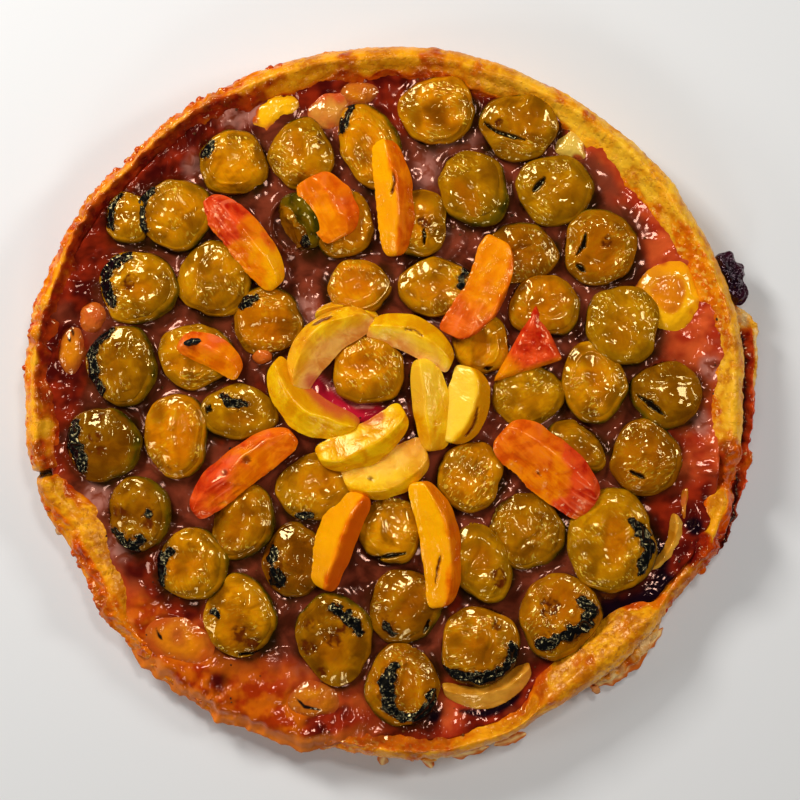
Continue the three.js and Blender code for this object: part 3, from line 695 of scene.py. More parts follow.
# Plum halves that share a node with another piece: node, place from the middle of the node's box,
# length, width, height of the face from the middle of the box, then as above
SHARED_PLUMS = {
    "plum_left_of_pair": ("plum_half_pair", -13, -1.4, 22, 19, 3.1, plum(95, 1.15, 5, 90,
        char=[(2, [(-2.9, 8.7), (-5.6, 3.9), (-6.6, -2.3), (-5.8, -5.1)])])),
    "plum_right_of_pair": ("plum_half_pair", 6.6, -0.4, 31.5, 29, 5.1, plum(0, 1.08, 6, 180,
        char=[(3.6, [(-9, 10.5), (-11.6, 7), (-13.6, 2.2), (-13.6, -3.3), (-12.6, -8.2)])])),
    "plum_by_short_slice": ("plum_half_with_short_slice", 2.1, -3.2, 29, 24, 2.5, plum(85, 1.2, 6, 0)),
    "plum_by_long_slice": ("plum_half_with_long_slice", 2.9, -9.6, 29, 24, 1.9, plum(80, 1.2, 8, 20,
        spots=[(2.2, 0, 2.2)], slits=[(1.2, [(2, -3), (2.4, -9)])])),
    "plum_by_crescent": ("plum_half_with_crescent", -7, -0.3, 33, 24, 2.5, plum(0, 1.37, 4, 160,
        char=[(2.4, [(13.1, 9), (10.6, 3.9), (9.6, -0.2)])])),
    "plum_by_curl": ("plum_half_with_curl", -1.5, -0.3, 32, 27, 3.7, plum(0, 1.18, 5, 200,
        spots=[(4, 6, 1.6)])),
    "plum_by_shard": ("plum_half_with_shard", 2.5, 8.7, 30, 26, 2.5, plum(0, 1.15, 6, 120)),
}
PLUM_DEPTH = 12.5
# The flesh is a little wider than the solid half, and its face lies a little below the solid's top
FLESH_SHARE = 1.055
FACE_BELOW_TOP = 1.8
# Fruit sunk almost to its top: place, length, width, direction, how far it rises above the custard,
# and the shares of orange, pink and cream in its colour (ochre when all are nothing)
SUNK = {
    "sunk_peach_half": (114, 45, 30, 28, 60, 3.4, (0.75, 0.1, 0.0)),
    "sunk_pale_slice": (74.5, 107.5, 17, 14, 100, 2.2, (0.1, 0.0, 0.9)),
    "sunk_yellow_slice": (-48, 120, 25, 23, 80, 2.9, (0.4, 0.0, 0.0)),
    "sunk_pink_lump": (-25, 120.5, 19, 15, 30, 1.6, (0.2, 0.85, 0.1)),
    "sunk_plum_top": (-13, 128, 16, 10, 0, 1.4, (0.2, 0.3, 0.0)),
    "sunk_plum_left": (-131, 22.5, 21, 11, 85, 2.0, (0.35, 0.2, 0.0)),
    "sunk_lump_left": (-122, 36.5, 13, 11, 60, 2.0, (0.6, 0.5, 0.0)),
    "sunk_slice_low_left": (-86, -96.5, 33, 19, -20, 1.3, (0.55, 0.25, 0.0)),
    "sunk_plum_bottom": (-31.5, -121, 23, 15, 0, 2.0, (0.35, 0.15, 0.0)),
    "sunk_bit_middle": (-52.2, 20.4, 8, 7, 0, 3.2, (1.0, 0.5, 0.0)),
}


# Slices by name: node, place from the middle of the node's box, length, width, height, direction,
# sideways bend, roll, ridge (-1 to 1 across), bluntness of the ends, the shares of red at the start
# and the end, of yellow at the thin edge, of skin, of yellow at the end and of pink at the thin edge,
# then slits (width and stops) and dark spots
SLICES = {
    "slice_upper_left": ("peach_slice_upper_left", (0, 0, 0), (46, 17, 11), (-51, 2.5, 6), 0.35, 0.6,
        (1.1, 0.0, 0.0, 0.1, 1.0, 0.0)),
    "slice_lower_left": ("peach_slice_lower_left", (0, 0, 0), (52, 17, 10), (38, 3, -8), 0.2, 0.6,
        (0.9, 0.3, 0.1, 0.2, 0.0, 0.0), [], [(2.3, 5, 1.8), (-6.6, -0.5, 1.4)]),
    "slice_right": ("peach_slice_right", (0, 0, 0), (48, 24, 11), (-41, 2, 6), 0.55, 0.5,
        (0.35, 1.0, 0.0, 0.3, 0.0, 0.0), [(0.9, [(-5, -1.6), (-2.4, -3)])]),
    "slice_low_left": ("peach_slice_low_left", (0, 0, 0), (42, 17, 13), (68, 3, -12), -0.4, 0.55,
        (0.1, 0.1, 0.9, 0.9, 0.0, 0.0)),
    "slice_low_right": ("peach_slice_low_right", (0, 0, 0), (52, 17, 12), (100, -5, 8), -0.3, 0.5,
        (0.1, 0.0, 0.9, 0.5, 0.35, 0.0), [(0.9, [(2, -4.7), (0.6, -11.1), (-0.3, -17.6)])]),
    "slice_long": ("plum_half_with_long_slice", (-8.1, 0.4, 4.9), (48, 15.5, 12), (96, -2, 0), -0.1, 0.6,
        (0.2, 0.0, 1.0, 0.2, 0.0, 0.0), [(1.3, [(0.5, 10), (1.2, 5.9), (-0.2, -0.3)])]),
    "slice_short": ("plum_half_with_short_slice", (-4.4, 3.8, 5.5), (28, 20, 9), (-62, 2, 0), 0.3, 0.42,
        (0.3, 0.2, 0.25, 0.3, 0.0, 0.0)),
    "slice_crescent": ("plum_half_with_crescent", (10.5, -1.3, 4.0), (44, 18, 11), (63, -5, 10), -0.7,
        0.36, (0.7, 0.0, 0.35, 0.6, 0.0, 0.0)),
    "slice_curl": ("plum_half_with_curl", (5.5, 0.2, 6.2), (28, 13, 7.5), (-28, 3, 0), 0.1, 0.55,
        (0.5, 0.3, 0.1, 0.0, 0.3, 0.0)),
}
PETALS = {
    "petal_upper_left": ("rosette_slice_upper_left", (0.8, -1.2, 0), (43, 17.5, 12), (44, 7, 0), 0.45,
        0.5, (0.3, 0.2, 0.2, 0.0, 0.0, 0.8), [(1.2, [(-6, 8.6), (2, 12.2)])]),
    "petal_upper_right": ("rosette_slice_upper_right", (0, -0.8, 0), (37, 15, 10), (-25, 4.5, 0), 0.15,
        0.5, (0.0, 0.0, 0.5, 0.35, 0.0, 0.9), [(0.8, [(-3, 4.6), (1, 4), (4, 2)])]),
    "petal_right_inner": ("rosette_slices_right", (-8.0, 0.2, 0.2), (38, 15, 12), (98, -1, 0), 0.3, 0.5,
        (0.1, 0.0, 0.0, 0.25, 0.6, 0.0)),
    "petal_right_outer": ("rosette_slices_right", (5.5, -0.3, -0.3), (32, 18, 11), (76, -4, 0), -0.25,
        0.5, (0.0, 0.0, 1.1, 1.0, 0.0, 0.15), [(1.0, [(5.6, -1), (5, -5), (3.4, -9), (0.8, -12.3)])]),
    "petal_lower_left": ("rosette_slices_below", (-15.4, 11.3, 0.1), (43, 17, 12), (-39, -7, 0), 0.1, 0.5,
        (0.0, 0.0, 0.0, 0.75, 0.0, 0.0)),
    "petal_below": ("rosette_slices_below", (7.0, -3.8, 0.6), (40, 16.5, 11), (28, -4, 0), -0.25, 0.5,
        (0.0, 0.0, 0.0, 0.0, 0.0, 0.0)),
    "petal_lowest": ("rosette_slices_below", (16.1, -15.8, -1.4), (36, 19, 9), (20, -4, 0), -0.55, 0.45,
        (0.0, 0.3, 0.35, 0.1, 0.0, 0.35), [], [(-6.4, -3.9, 0.4)]),
}


def stain(x, y, blots):
    """How strongly blots, each a place and a size, colour a place on the tart: the sum of bells."""
    return sum(bell(np.hypot(x - bx, y - by), size) for bx, by, size in blots)


def stroke(x, y, width, stops, ragged, tip=0.35, soft=0.35):
    """1 within half the width of a line through the stops, 0 outside, with a ragged edge. The line
    thins towards its two ends."""
    stops = np.array(stops, float)
    best = np.full(x.shape, -9.0)
    count = len(stops) - 1
    for leg in range(count):
        run = stops[leg + 1] - stops[leg]
        t = clamped(((x - stops[leg, 0]) * run[0] + (y - stops[leg, 1]) * run[1]) / (run @ run + 1e-9))
        gap = np.hypot(x - stops[leg, 0] - t * run[0], y - stops[leg, 1] - t * run[1])
        along = (leg + t) / count
        broad = width / 2 * (tip + (1 - tip) * np.sin(math.pi * np.clip(along, 0.02, 0.98)) ** 0.5)
        best = np.maximum(best, broad - gap)
    return step_up(best + ragged, -soft, soft)


def strokes(x, y, rows, ragged, tip=0.35, wider=0.0):
    """The strongest of several strokes, each a width and its stops, all made wider by an amount."""
    best = np.zeros_like(x)
    for width, stops in rows:
        best = np.maximum(best, stroke(x, y, width + wider, stops, ragged, tip))
    return best


def dots(x, y, spots, ragged, low, high):
    """The strongest of several round spots with ragged edges."""
    best = np.zeros_like(x)
    for sx, sy, size in spots:
        best = np.maximum(best, step_up(size - np.hypot(x - sx, y - sy) + ragged, low, high))
    return best


def plum_plans():
    """Each plum half as name, node, middle of its face, length, width and finish rows. A half that has
    a node to itself takes its sizes from the node's box: the half sizes' squares add up to the squares
    of the half length and half width, whichever way it is turned."""
    plans = []
    for number, row in PLUMS.items():
        node = f"plum_half_{number:02d}"
        _, ratio, lean, *_ = row
        middle, half = node_middle(node)
        half_width = math.sqrt((half[0] ** 2 + half[1] ** 2) / (ratio**2 + 1)) * FLESH_SHARE
        lean_rise = half_width * math.sin(math.radians(lean))
        face = (middle[0], middle[1], middle[2] + half[2] - FACE_BELOW_TOP - lean_rise)
        plans.append((node + "_flesh", node, face, 2 * half_width * ratio, 2 * half_width, row))
    for name, (node, dx, dy, length, width, dz, row) in SHARED_PLUMS.items():
        middle, half = node_middle(node)
        plans.append((name, node, (middle[0] + dx, middle[1] + dy, middle[2] + dz), length, width, row))
    return plans


def disc_map(steps):
    """A square grid bent into a disc of radius 1 without a middle point: the longer coordinate is the
    radius, and the other one divided by it is an eighth of a turn either way."""
    a, b = np.meshgrid(np.linspace(-1, 1, steps), np.linspace(-1, 1, steps), indexing="ij")
    a = np.where(a == 0, 1e-9, a)
    b = np.where(b == 0, 1e-9, b)
    wide = np.abs(a) > np.abs(b)
    radius = np.where(wide, a, b)
    turn = np.where(wide, math.pi / 4 * b / a, math.pi / 2 - math.pi / 4 * a / b)
    return radius * np.cos(turn), radius * np.sin(turn)


def filling_mesh():
    """The set surface: a height for every place on a disc. It climbs by an uneven bell at each piece
    of fruit and sinks under it, waves slowly, rises to the rim, and at the lower left swells over the
    rim and hangs down outside."""
    u, v = disc_map(FILLING_STEPS)
    angle = np.arctan2(v, u)
    over = np.minimum(around(OVERFLOW, angle), 1)
    edge = RIM_RADIUS + around(RIM_SWELLS, angle) + 0.7 * waver(angle, 1)
    ring = np.stack([150 * np.cos(angle), 150 * np.sin(angle), 0 * u], -1)
    ragged = 1.0 * waver(angle, 6) + 1.5 * rough(ring, 9, 91, 2) + 0.5 * rough(ring, 2.4, 93, 2)
    edge = edge - FILLING_INSET + over * (OVERFLOW_REACH + ragged)
    x, y = u * edge, v * edge
    share = np.hypot(u, v)
    flat = np.stack([x, y, 0 * x], -1)
    z = LEVEL + 0.9 * rough(flat, 22, 101) + 0.4 * rough(flat, 7, 111, 2)
    z = z + around(RIM_CLIMB, angle) * step_up(share, 0.88, 1.0) * (0.8 + 0.4 * rough(flat, 10, 117))
    z = z + (1 - over) * (1.0 + 0.9 * rough(flat, 8, 118, 2)) * step_up(share, 0.93, 0.99)
    lumpy = clamped(over * step_up(share, 0.72, 0.9))
    clustered = step_up(grain(flat, 15, 133), -0.2, 0.5)
    lumps = (0.45 + 0.75 * clustered) * creased(flat, 4.4, 131)
    z = z + lumpy * (1.3 * rough(flat, 14, 121, 2) + lumps + 0.6)
    jammy = clamped(around(RIM_CLIMB, angle) / 3) * step_up(share, 0.86, 0.95)
    z = z + jammy * 0.5 * creased(flat, 4.4, 135)
    uneven = grain(flat, 11, 137)
    tall = 0.7 + 2.2 * uneven
    climb = np.zeros_like(z)
    juice_and_shadow = np.zeros_like(z)
    for _, _, face, length, width, row in plum_plans():
        reach = ellipse_reach(x, y, face, length / 2 * 0.98, width / 2 * 0.98, row[0])
        away = (reach - 1) * (length + width) / 4
        rise = tall * np.exp(-np.maximum(away, 0) / (1.9 + 0.9 * uneven))
        climb = np.where(np.abs(rise) > np.abs(climb), rise, climb)
        climb = np.where(away < -1.2, UNDER_FRUIT, climb)
        # Painted shadow: this mark darkens the custard next to each piece of fruit, most at its lower right,
        # along with the dark of its juice
        shaded = 0.85 + 0.35 * np.cos(np.arctan2(y - face[1], x - face[0]) + 0.9)
        juice_and_shadow = np.maximum(juice_and_shadow, shaded * np.exp(-np.maximum(away - 0.8, 0) / 3.8))
    for node, shift, (length, width, _), (turn, _, _), *_ in [*SLICES.values(), *PETALS.values()]:
        if node.startswith("plum"):
            continue
        middle = node_middle(node)[0] + shift
        reach = ellipse_reach(x, y, middle, length / 2, width / 2, turn)
        away = (reach - 1) * (length + width) / 4
        rise = (0.9 + 1.8 * uneven) * np.exp(-np.maximum(away, 0) / 1.8)
        climb = np.where(np.abs(rise) > np.abs(climb), rise, climb)
        juice_and_shadow = np.maximum(juice_and_shadow, 0.6 * np.exp(-np.maximum(away - 0.4, 0) / 1.6))
    z = z + climb
    for sx, sy, length, width, turn, rise, _ in SUNK.values():
        reach = ellipse_reach(x, y, (sx, sy), length / 2, width / 2, turn)
        under = LEVEL + rise * (1 - clamped(reach) ** SUNK_FLATNESS) - 0.8
        z = z + (under - z) * (1 - step_up(reach, 0.8, 1.1))
    z = z - LIP_SAG * (over * step_up(share, 0.93, 1.0)) ** 2
    mottle = rough(flat, 12, 141)
    deep = stain(x, y, DEEP_STAINS) + around(DEEP_BAND, angle) * step_up(share, 0.84, 0.95) + 0.35 * mottle
    black = step_up(stain(x, y, BLACK_STAINS) + 0.25 * mottle, 0.4, 0.9)
    edge_orange = around(ORANGE_BAND, angle) * step_up(share, 0.80, 0.92) + 0.7 * step_up(share, 0.91, 0.97)
    fields = {
        "deep": step_up(deep, 0.3, 0.95),
        "black": np.maximum(black, stroke(x, y, 4.6, BLACK_CREASE, 0.6 * mottle, 0.35, 0.8)),
        "orange": step_up(stain(x, y, ORANGE_STAINS) + edge_orange + 0.3 * mottle + 0.8 * lumpy, 0.3, 0.95),
        "ochre": lumpy,
        "mauve_sheen": step_up(stain(x, y, MAUVE_SHEEN_PATCHES) + 0.3 * mottle, 0.2, 0.9),
        "juice_and_shadow": clamped(juice_and_shadow * (0.85 + 0.5 * grain(flat, 8, 151))),
        "berry": step_up(stain(x, y, BERRY_STAINS) + 0.2 * mottle, 0.25, 0.9),
        "highlight_line": stroke(x, y, 2.2, PAINTED_HIGHLIGHT_LINE, 0.8 * mottle) * (0.6 + 0.4 * uneven),
        "lip": over * step_up(share + 0.02 * mottle, 0.945, 0.975),
    }
    index = np.arange(FILLING_STEPS**2).reshape(FILLING_STEPS, FILLING_STEPS)
    quads = np.stack([index[:-1, :-1], index[1:, :-1], index[1:, 1:], index[:-1, 1:]], -1).reshape(-1, 4)
    rim = np.concatenate([index[:-1, 0], index[-1, :-1], index[:0:-1, -1], index[0, :0:-1]])
    top = np.stack([x, y, z], -1).reshape(-1, 3)
    lip = top[rim]
    lip_angle = np.arctan2(lip[:, 1], lip[:, 0])
    lip_over = np.minimum(around(OVERFLOW, lip_angle), 1)[:, None]
    inward = np.stack([np.cos(lip_angle), np.sin(lip_angle), 0 * lip_angle], -1)
    rows = [lip]
    for drop, back in DRIP_ROWS:
        rows.append(lip - inward * back * lip_over - np.array([0, 0, drop]) * (0.35 + 0.65 * lip_over))
    foot = inward * (np.hypot(lip[:, 0], lip[:, 1])[:, None] - 6 - 9 * lip_over)
    foot[:, 2] = BASE_THICKNESS + 1.5
    rows.append(foot)
    places = np.vstack([top, *rows[1:], [[0, 0, BASE_THICKNESS + 0.5]]])
    count = len(rim)
    ring = np.arange(count)
    ahead = (ring + 1) % count
    strips = []
    above = rim
    for row in range(1, len(rows)):
        start = len(top) + (row - 1) * count
        strips.append(np.stack([start + ring, start + ahead, above[ahead], above[ring]], -1))
        above = start + ring
    below = np.stack([np.full(count, len(places) - 1), above[ahead], above[ring]], -1)
    extra = len(places) - len(top)
    marks = {k: np.concatenate([f.ravel(), np.resize(f.ravel()[rim], extra)]) for k, f in fields.items()}
    return put_mesh("custard_and_jam_film", places, np.vstack([quads, *strips]), below, marks)


def custard_colour(f):
    """The colour of the set custard: brown, mauve pink where painted sheen lies on it, with juice stains
    and painted shadow next to the fruit, red, orange and black stains, and a pale painted highlight line.
    """
    cloud = f.noise(11, 3, 0.5, 0.4)
    custard = f.mottled((0.075, 0.010, 0.004), (0.26, 0.043, 0.017), cloud, 0.34, 0.64)
    orange = f.mottled((0.38, 0.024, 0.006), (0.68, 0.096, 0.019), f.noise(10, 2, 0.5), 0.34, 0.66)
    ochre = f.mottled((0.37, 0.026, 0.001), (0.64, 0.120, 0.002), f.noise(7, 2, 0.5), 0.36, 0.62)
    jam = f.mottled((0.075, 0.003, 0.002), (0.32, 0.020, 0.004), f.noise(9, 2, 0.5), 0.35, 0.7)
    mauve_sheen_colour = f.mottled((0.26, 0.050, 0.022), (0.50, 0.190, 0.135), f.noise(5, 2, 0.5, 0.6), 0.36, 0.6)
    return f.coats(
        custard,
        (f.mix(orange, ochre, f.mark("ochre") * 0.95), f.mark("orange")),
        (jam, f.mark("deep")),
        # painted sheen in mauve patches
        (mauve_sheen_colour, f.mark("mauve_sheen") * 0.85),
        ((0.90, 0.24, 0.012), f.mark("lip") * 0.6),
        # juice stain and painted shadow next to the fruit
        ((0.022, 0.008, 0.0008), f.mark("juice_and_shadow") * f.between(cloud, 0.3, 0.65, 1.0, 0.7)),
        ((0.56, 0.010, 0.030), f.mark("berry")),
        # painted highlight line along the fruit's edge
        ((0.90, 0.42, 0.32), f.mark("highlight_line") * 0.8),
        ((0.006, 0.001, 0.004), f.mark("black")),
    )


def filling_finish():
    """Wet set custard and jam with a mirror gloss over fine dimples."""
    f = Finish("custard_and_jam", IOR=1.45, Specular_IOR_Level=0.5, Specular_Tint=(1, 0.56, 0.42))
    height = f.noise(4.6, 1, 0.5, 0.4) * 0.16 + f.noise(9, 1) * 1.0
    height = height + f.noise(3.2, 1) * 0.35 * f.mark("orange")
    return f.surface(
        Base_Color=custard_colour(f),
        Roughness=f.between(f.noise(5, 3), 0.3, 0.7, 0.07, 0.15) + 0.45 * f.mark("lip"),
        Normal=f.bump(height, 0.9, 0.8),
    )


filling = filling_mesh()
finish_piece(filling, filling_finish(), "custard_and_jam")


# The plum halves. Small green-gold plums, halved, stoned and baked cut side up: a puffed, wrinkled,
# wet cut face with a shallow hollow where the stone was, olive skin round the belly, and edges that
# caught and charred black.
PLUM_SIDES = 136
PLUM_BELLY_RINGS = 11
PLUM_ROLL_RINGS = 9
PLUM_FACE_RINGS = 44
WIDEST_BELOW_FACE = 2.6
# Halves narrower than this are shallower too
FULL_DEPTH_WIDTH = 27
# The least and most that a face puffs up, and that its hollow sinks
PUFF = (2.0, 3.2)
HOLLOW_DEPTH = (0.1, 1.5)
# Each half draws its own unevenness, from a seed of its own
PLUM_SEED = 1000
PLUM_SEED_STEP = 37


def place_points(points, face, turn, lean, towards):
    """Turns points about the upright axis, leans them towards a direction, and moves them to face."""
    t, a, d = math.radians(turn), math.radians(lean), math.radians(towards)
    x = points[..., 0] * math.cos(t) - points[..., 1] * math.sin(t)
    y = points[..., 0] * math.sin(t) + points[..., 1] * math.cos(t)
    z = points[..., 2]
    fore = x * math.cos(d) + y * math.sin(d)
    side = -x * math.sin(d) + y * math.cos(d)
    fore, z = fore * math.cos(a) + z * math.sin(a), z * math.cos(a) - fore * math.sin(a)
    x = fore * math.cos(d) - side * math.sin(d)
    y = fore * math.sin(d) + side * math.cos(d)
    return np.stack([x + face[0], y + face[1], z + face[2]], -1)


def plum_rings(face, length, width, row, seed):
    """A belly as a quarter oval, a rolled edge, and a face. The edge rolls from the outline in to a
    share of it that is smaller on the side away from the lean. The face is a flat-topped dome less a
    long hollow with a lip, less one or two clefts, folded by slow noise, with granules in patches."""
    turn, _, lean, towards, shade, chars, spots, slits = row
    depth = PLUM_DEPTH * min(1, width / FULL_DEPTH_WIDTH)
    angle = turn_angles(PLUM_SIDES)
    draw = np.random.default_rng(seed)
    phase = draw.uniform(0, 6.28, 6)
    oval = 1 / np.hypot(np.cos(angle) / (length / 2), np.sin(angle) / (width / 2))
    lumps = 1 + 0.034 * np.sin(3 * angle + phase[0]) + 0.026 * np.sin(4 * angle + phase[1])
    lumps = lumps + 0.013 * np.sin(6 * angle + phase[2]) + 0.007 * np.sin(11 * angle + phase[3])
    edge = oval * lumps
    away = angle - math.radians(towards + 180 - turn)
    raised_side = (0.5 + 0.5 * np.cos(away)) ** 1.6
    inner = 0.935 - (0.015 + 0.0125 * lean) * raised_side + 0.01 * np.sin(7 * angle + phase[4])
    belly = np.linspace(0, 1, PLUM_BELLY_RINGS)[:, None]
    belly_radius = edge * np.sin(belly * math.pi / 2) ** 0.85
    belly_height = -(depth - WIDEST_BELOW_FACE) * np.cos(belly * math.pi / 2) - WIDEST_BELOW_FACE + 0 * angle
    roll = np.linspace(0, 1, PLUM_ROLL_RINGS + 1)[1:, None] * math.pi / 2
    roll_radius = edge * (inner + (1 - inner) * np.cos(roll))
    roll_height = -WIDEST_BELOW_FACE + (WIDEST_BELOW_FACE + 0.5) * np.sin(roll) + 0 * angle
    share = np.linspace(1, 0, PLUM_FACE_RINGS + 1)[1:, None] + 0 * angle
    face_radius = edge * inner * share
    fx, fy = face_radius * np.cos(angle), face_radius * np.sin(angle)
    hx, hy = draw.uniform(-0.12, 0.12, 2) * length
    long_way, wide_way = draw.uniform(0.22, 0.34) * length, draw.uniform(0.12, 0.24) * width
    bowed = (fy - hy - draw.uniform(-0.02, 0.02) * (fx - hx) ** 2) / wide_way
    hollow = np.hypot((fx - hx) / long_way, bowed)
    soft = draw.uniform(0.4, 1.0)
    sunk = 1 - step_up(hollow, 1 - soft, 1 + 0.5 * soft)
    deep = draw.uniform(*HOLLOW_DEPTH)
    lip = 0.15 * deep * bell(hollow - 1.35, 0.4)
    face_height = 0.5 + draw.uniform(*PUFF) * (1 - share**2.6) + lip - deep * sunk
    for _ in range(draw.integers(0, 3)):
        way, off = draw.uniform(0, math.pi), draw.uniform(-0.25, 0.25) * width
        across = fx * math.sin(way) - fy * math.cos(way) - off
        along = fx * math.cos(way) + fy * math.sin(way)
        across = across + 1.2 * np.sin(along * 0.35 + phase[5])
        face_height = face_height - draw.uniform(0.3, 0.9) * bell(across, 1.1) * bell(share, 0.8)
        face_height = face_height + draw.uniform(-0.07, 0.07) * np.maximum(across, 0)
    for _ in range(draw.integers(0, 2)):
        ring_at = draw.uniform(0.66, 0.93) + 0.03 * np.sin(2 * angle + draw.uniform(0, 6.28))
        sector = step_up(np.cos(angle - draw.uniform(0, 6.28)), -0.2, 0.5)
        face_height = face_height + draw.uniform(0.25, 0.5) * sector * bell(share - ring_at, 0.045)
    radius = np.vstack([belly_radius, roll_radius, face_radius])
    height = np.vstack([belly_height, roll_height, face_height])
    rows_below = np.zeros_like(belly_radius)
    on_roll = np.vstack([rows_below, np.sin(roll) ** 2 + 0 * roll_radius, np.ones_like(share)])
    on_face = np.vstack([rows_below, 0 * roll_radius, np.ones_like(share)])
    reach = np.vstack([rows_below + 1, roll_radius * 0 + 1, share])
    points = np.stack([radius * np.cos(angle), radius * np.sin(angle), height], -1)
    offset = points + draw.uniform(-500, 500, 3)
    folds = 0.8 * rough(offset, 10, seed, 2) + 0.28 * creased(offset, 7, seed + 3, 1)
    grit = step_up(grain(offset, 7, seed + 5) + 0.3 * grain(offset, 2.5, seed + 6), -0.05, 0.45)
    smooth_hollow = np.vstack([rows_below, 0 * roll_radius, sunk])
    grit = grit * (1 - 0.9 * smooth_hollow)
    wrinkle = creased(offset, 2.8, seed + 7, 1)
    fibre = draw.uniform(0, math.pi)
    calm = step_up(reach, 0.02, 0.2)
    points[..., 2] += on_roll * calm * (folds * (1 - 0.5 * smooth_hollow) + 0.4 * grit * wrinkle * on_face)
    skin_fold = (1 - on_face) * (0.45 * rough(offset, 7, seed + 9, 2))
    points[..., :2] *= (1 + skin_fold / np.maximum(radius, 3))[..., None]
    world = place_points(points, face, turn, lean, towards)
    x, y = world[..., 0] - face[0], world[..., 1] - face[1]
    ragged = 0.35 + 1.1 * rough(offset, 2.6, seed + 11, 3)
    on_top = step_up(world[..., 2] - face[2], -5, -2.5)
    char = strokes(x, y, chars, ragged) * on_top
    browned = 0.6 * strokes(x, y, chars, 1.5 * ragged, wider=2.4)
    burnt = np.maximum(dots(x, y, spots, ragged, -1.2, 0.8), browned)
    cut = strokes(x, y, slits, 0.35 * ragged, 0.1) * on_top
    crust = creased(offset, 3.0, seed + 13, 1)
    world[..., 2] += char * (0.5 + 0.8 * crust) - cut * 1.8 - burnt * on_face * 0.3
    roll_rows = slice(PLUM_BELLY_RINGS, PLUM_BELLY_RINGS + PLUM_ROLL_RINGS)
    turned_away = lean / 12 * raised_side
    roll_skin = step_up(1 - np.sin(roll) + 0.12 * ragged[roll_rows] + 0.45 * turned_away, 0.40, 0.85)
    # The darker edge of each face and its roll: partly the olive brim, partly painted shade that grows on
    # the side away from the light
    shadow_side = 0.5 + 0.5 * np.cos(angle + math.radians(turn + 50))
    face_brim_and_shadow = step_up(share, 0.74, 1.0) * 0.6 + step_up(share, 0.45, 1.0) * 0.6 * shadow_side
    brim = np.vstack([rows_below, 0.6 + 0.4 * shadow_side + 0 * roll_radius, face_brim_and_shadow])
    skin = np.vstack([rows_below + 1, roll_skin, 0 * share])
    marks = {
        "char": char,
        "burnt": burnt * on_face,
        "cut": cut,
        "skin": clamped(skin),
        "hollow": smooth_hollow * min(1, 0.3 + deep / 2),
        # darker where the folds are low: painted shade in the fold valleys
        "low": clamped(0.45 - 0.55 * folds) * (1 - 0.3 * on_roll * (1 - on_face)),
        "grit": grit * on_face,
        "brim": clamped(brim * (0.9 + 0.5 * grain(offset, 9, seed + 15))),
        "along": offset[..., 0] * math.cos(fibre) + offset[..., 1] * math.sin(fibre),
        "across": offset[..., 1] * math.cos(fibre) - offset[..., 0] * math.sin(fibre),
        "tone": np.full_like(x, draw.uniform(0, 1)),
        "shade": np.full_like(x, shade),
    }
    return world, marks


def plum_finish():
    """Baked plum: translucent ochre flesh, smooth and orange in the hollow, grained outside it and brighter
    there with painted glints, olive skin, brown then blue-black where it caught, wet all over. Painted
    shade darkens its fold valleys, the troughs of its streaks and its slits, and joins the olive brim
    round its edge, most on the shadow side."""
    f = Finish("baked_plum", IOR=1.45, Specular_IOR_Level=0.7, Specular_Tint=(1, 0.80, 0.34),
               Subsurface_Weight=0.2, Subsurface_Radius=(1, 0.45, 0.08), Subsurface_Scale=0.0025)
    cloud = f.noise(8, 2, 0.5, 0.5)
    fine = f.noise(2.6, 1, 0.5, 0.4)
    streak = f.streaks(6, 1.3)
    tone = f.mark("tone")
    grit = f.mark("grit")
    char = f.mark("char")
    flesh = f.coats(
        f.mottled((0.35, 0.108, 0.0004), (0.78, 0.275, 0.0008), cloud, 0.3, 0.56),
        ((0.40, 0.175, 0.0006), f.between(tone, 0.4, 1.0) * 0.6),
        ((0.68, 0.165, 0.0006), f.between(tone, 0.4, 0.0) * 0.6),
        ((0.78, 0.36, 0.002), f.between(fine * 0.5 + cloud * 0.5, 0.5, 0.64) * 0.5),
        # olive brim, and painted shade on the shadow side
        ((0.19, 0.094, 0.0006), f.mark("brim") * 0.62),
        # painted glints: bright yellow flecks in the grainy patches
        ((1.0, 0.66, 0.06), grit * f.between(f.streaks(2.0, 0.9), 0.57, 0.66) * 0.75),
        # painted shade in the troughs of the streaks
        ((0.24, 0.060, 0.0003), f.between(streak, 0.44, 0.34) * 0.15),
        ((0.58, 0.125, 0.0006), f.mark("hollow") * 0.55),
        ((0.13, 0.034, 0.0002), f.mark("shade") * f.between(cloud, 0.25, 0.75, 1.6, 1.05)),
        # painted shade in the fold valleys
        ((0.15, 0.042, 0.0003), f.between(f.mark("low"), 0.3, 1.0) * 0.75),
    )
    green = f.mottled((0.035, 0.026, 0.0005), (0.15, 0.085, 0.0006), cloud, 0.35, 0.62)
    colour = f.coats(
        flesh,
        (green, f.mark("skin")),
        ((0.12, 0.018, 0.001), f.mark("burnt") * f.between(fine, 0.3, 0.6)),
        # near black in the slits: painted shade in the narrow grooves
        ((0.008, 0.003, 0.001), f.mark("cut")),
        ((0.07, 0.014, 0.001), f.between(char + 0.2 * fine, 0.15, 0.4)),
        ((0.001, 0.0015, 0.003), f.between(char + 0.2 * fine, 0.42, 0.62)),
    )
    wet = f.noise(5.5, 1, 0.5, 0.4) * 0.8 + streak * (0.02 + 0.34 * grit)
    height = wet * (1 - char) + char * (1 - f.cells(3.4)) * 0.42
    roughness = f.between(cloud, 0.3, 0.7, 0.06, 0.13) + 0.10 * char
    return f.surface(Base_Color=colour, Roughness=roughness, Normal=f.bump(height, 1.1))


plum_material = plum_finish()
for number, (name, node, face, length, width, row) in enumerate(plum_plans()):
    seed = PLUM_SEED + PLUM_SEED_STEP * number
    half = turned_mesh(name, *plum_rings(face, length, width, row, seed))
    finish_piece(half, plum_material, node)


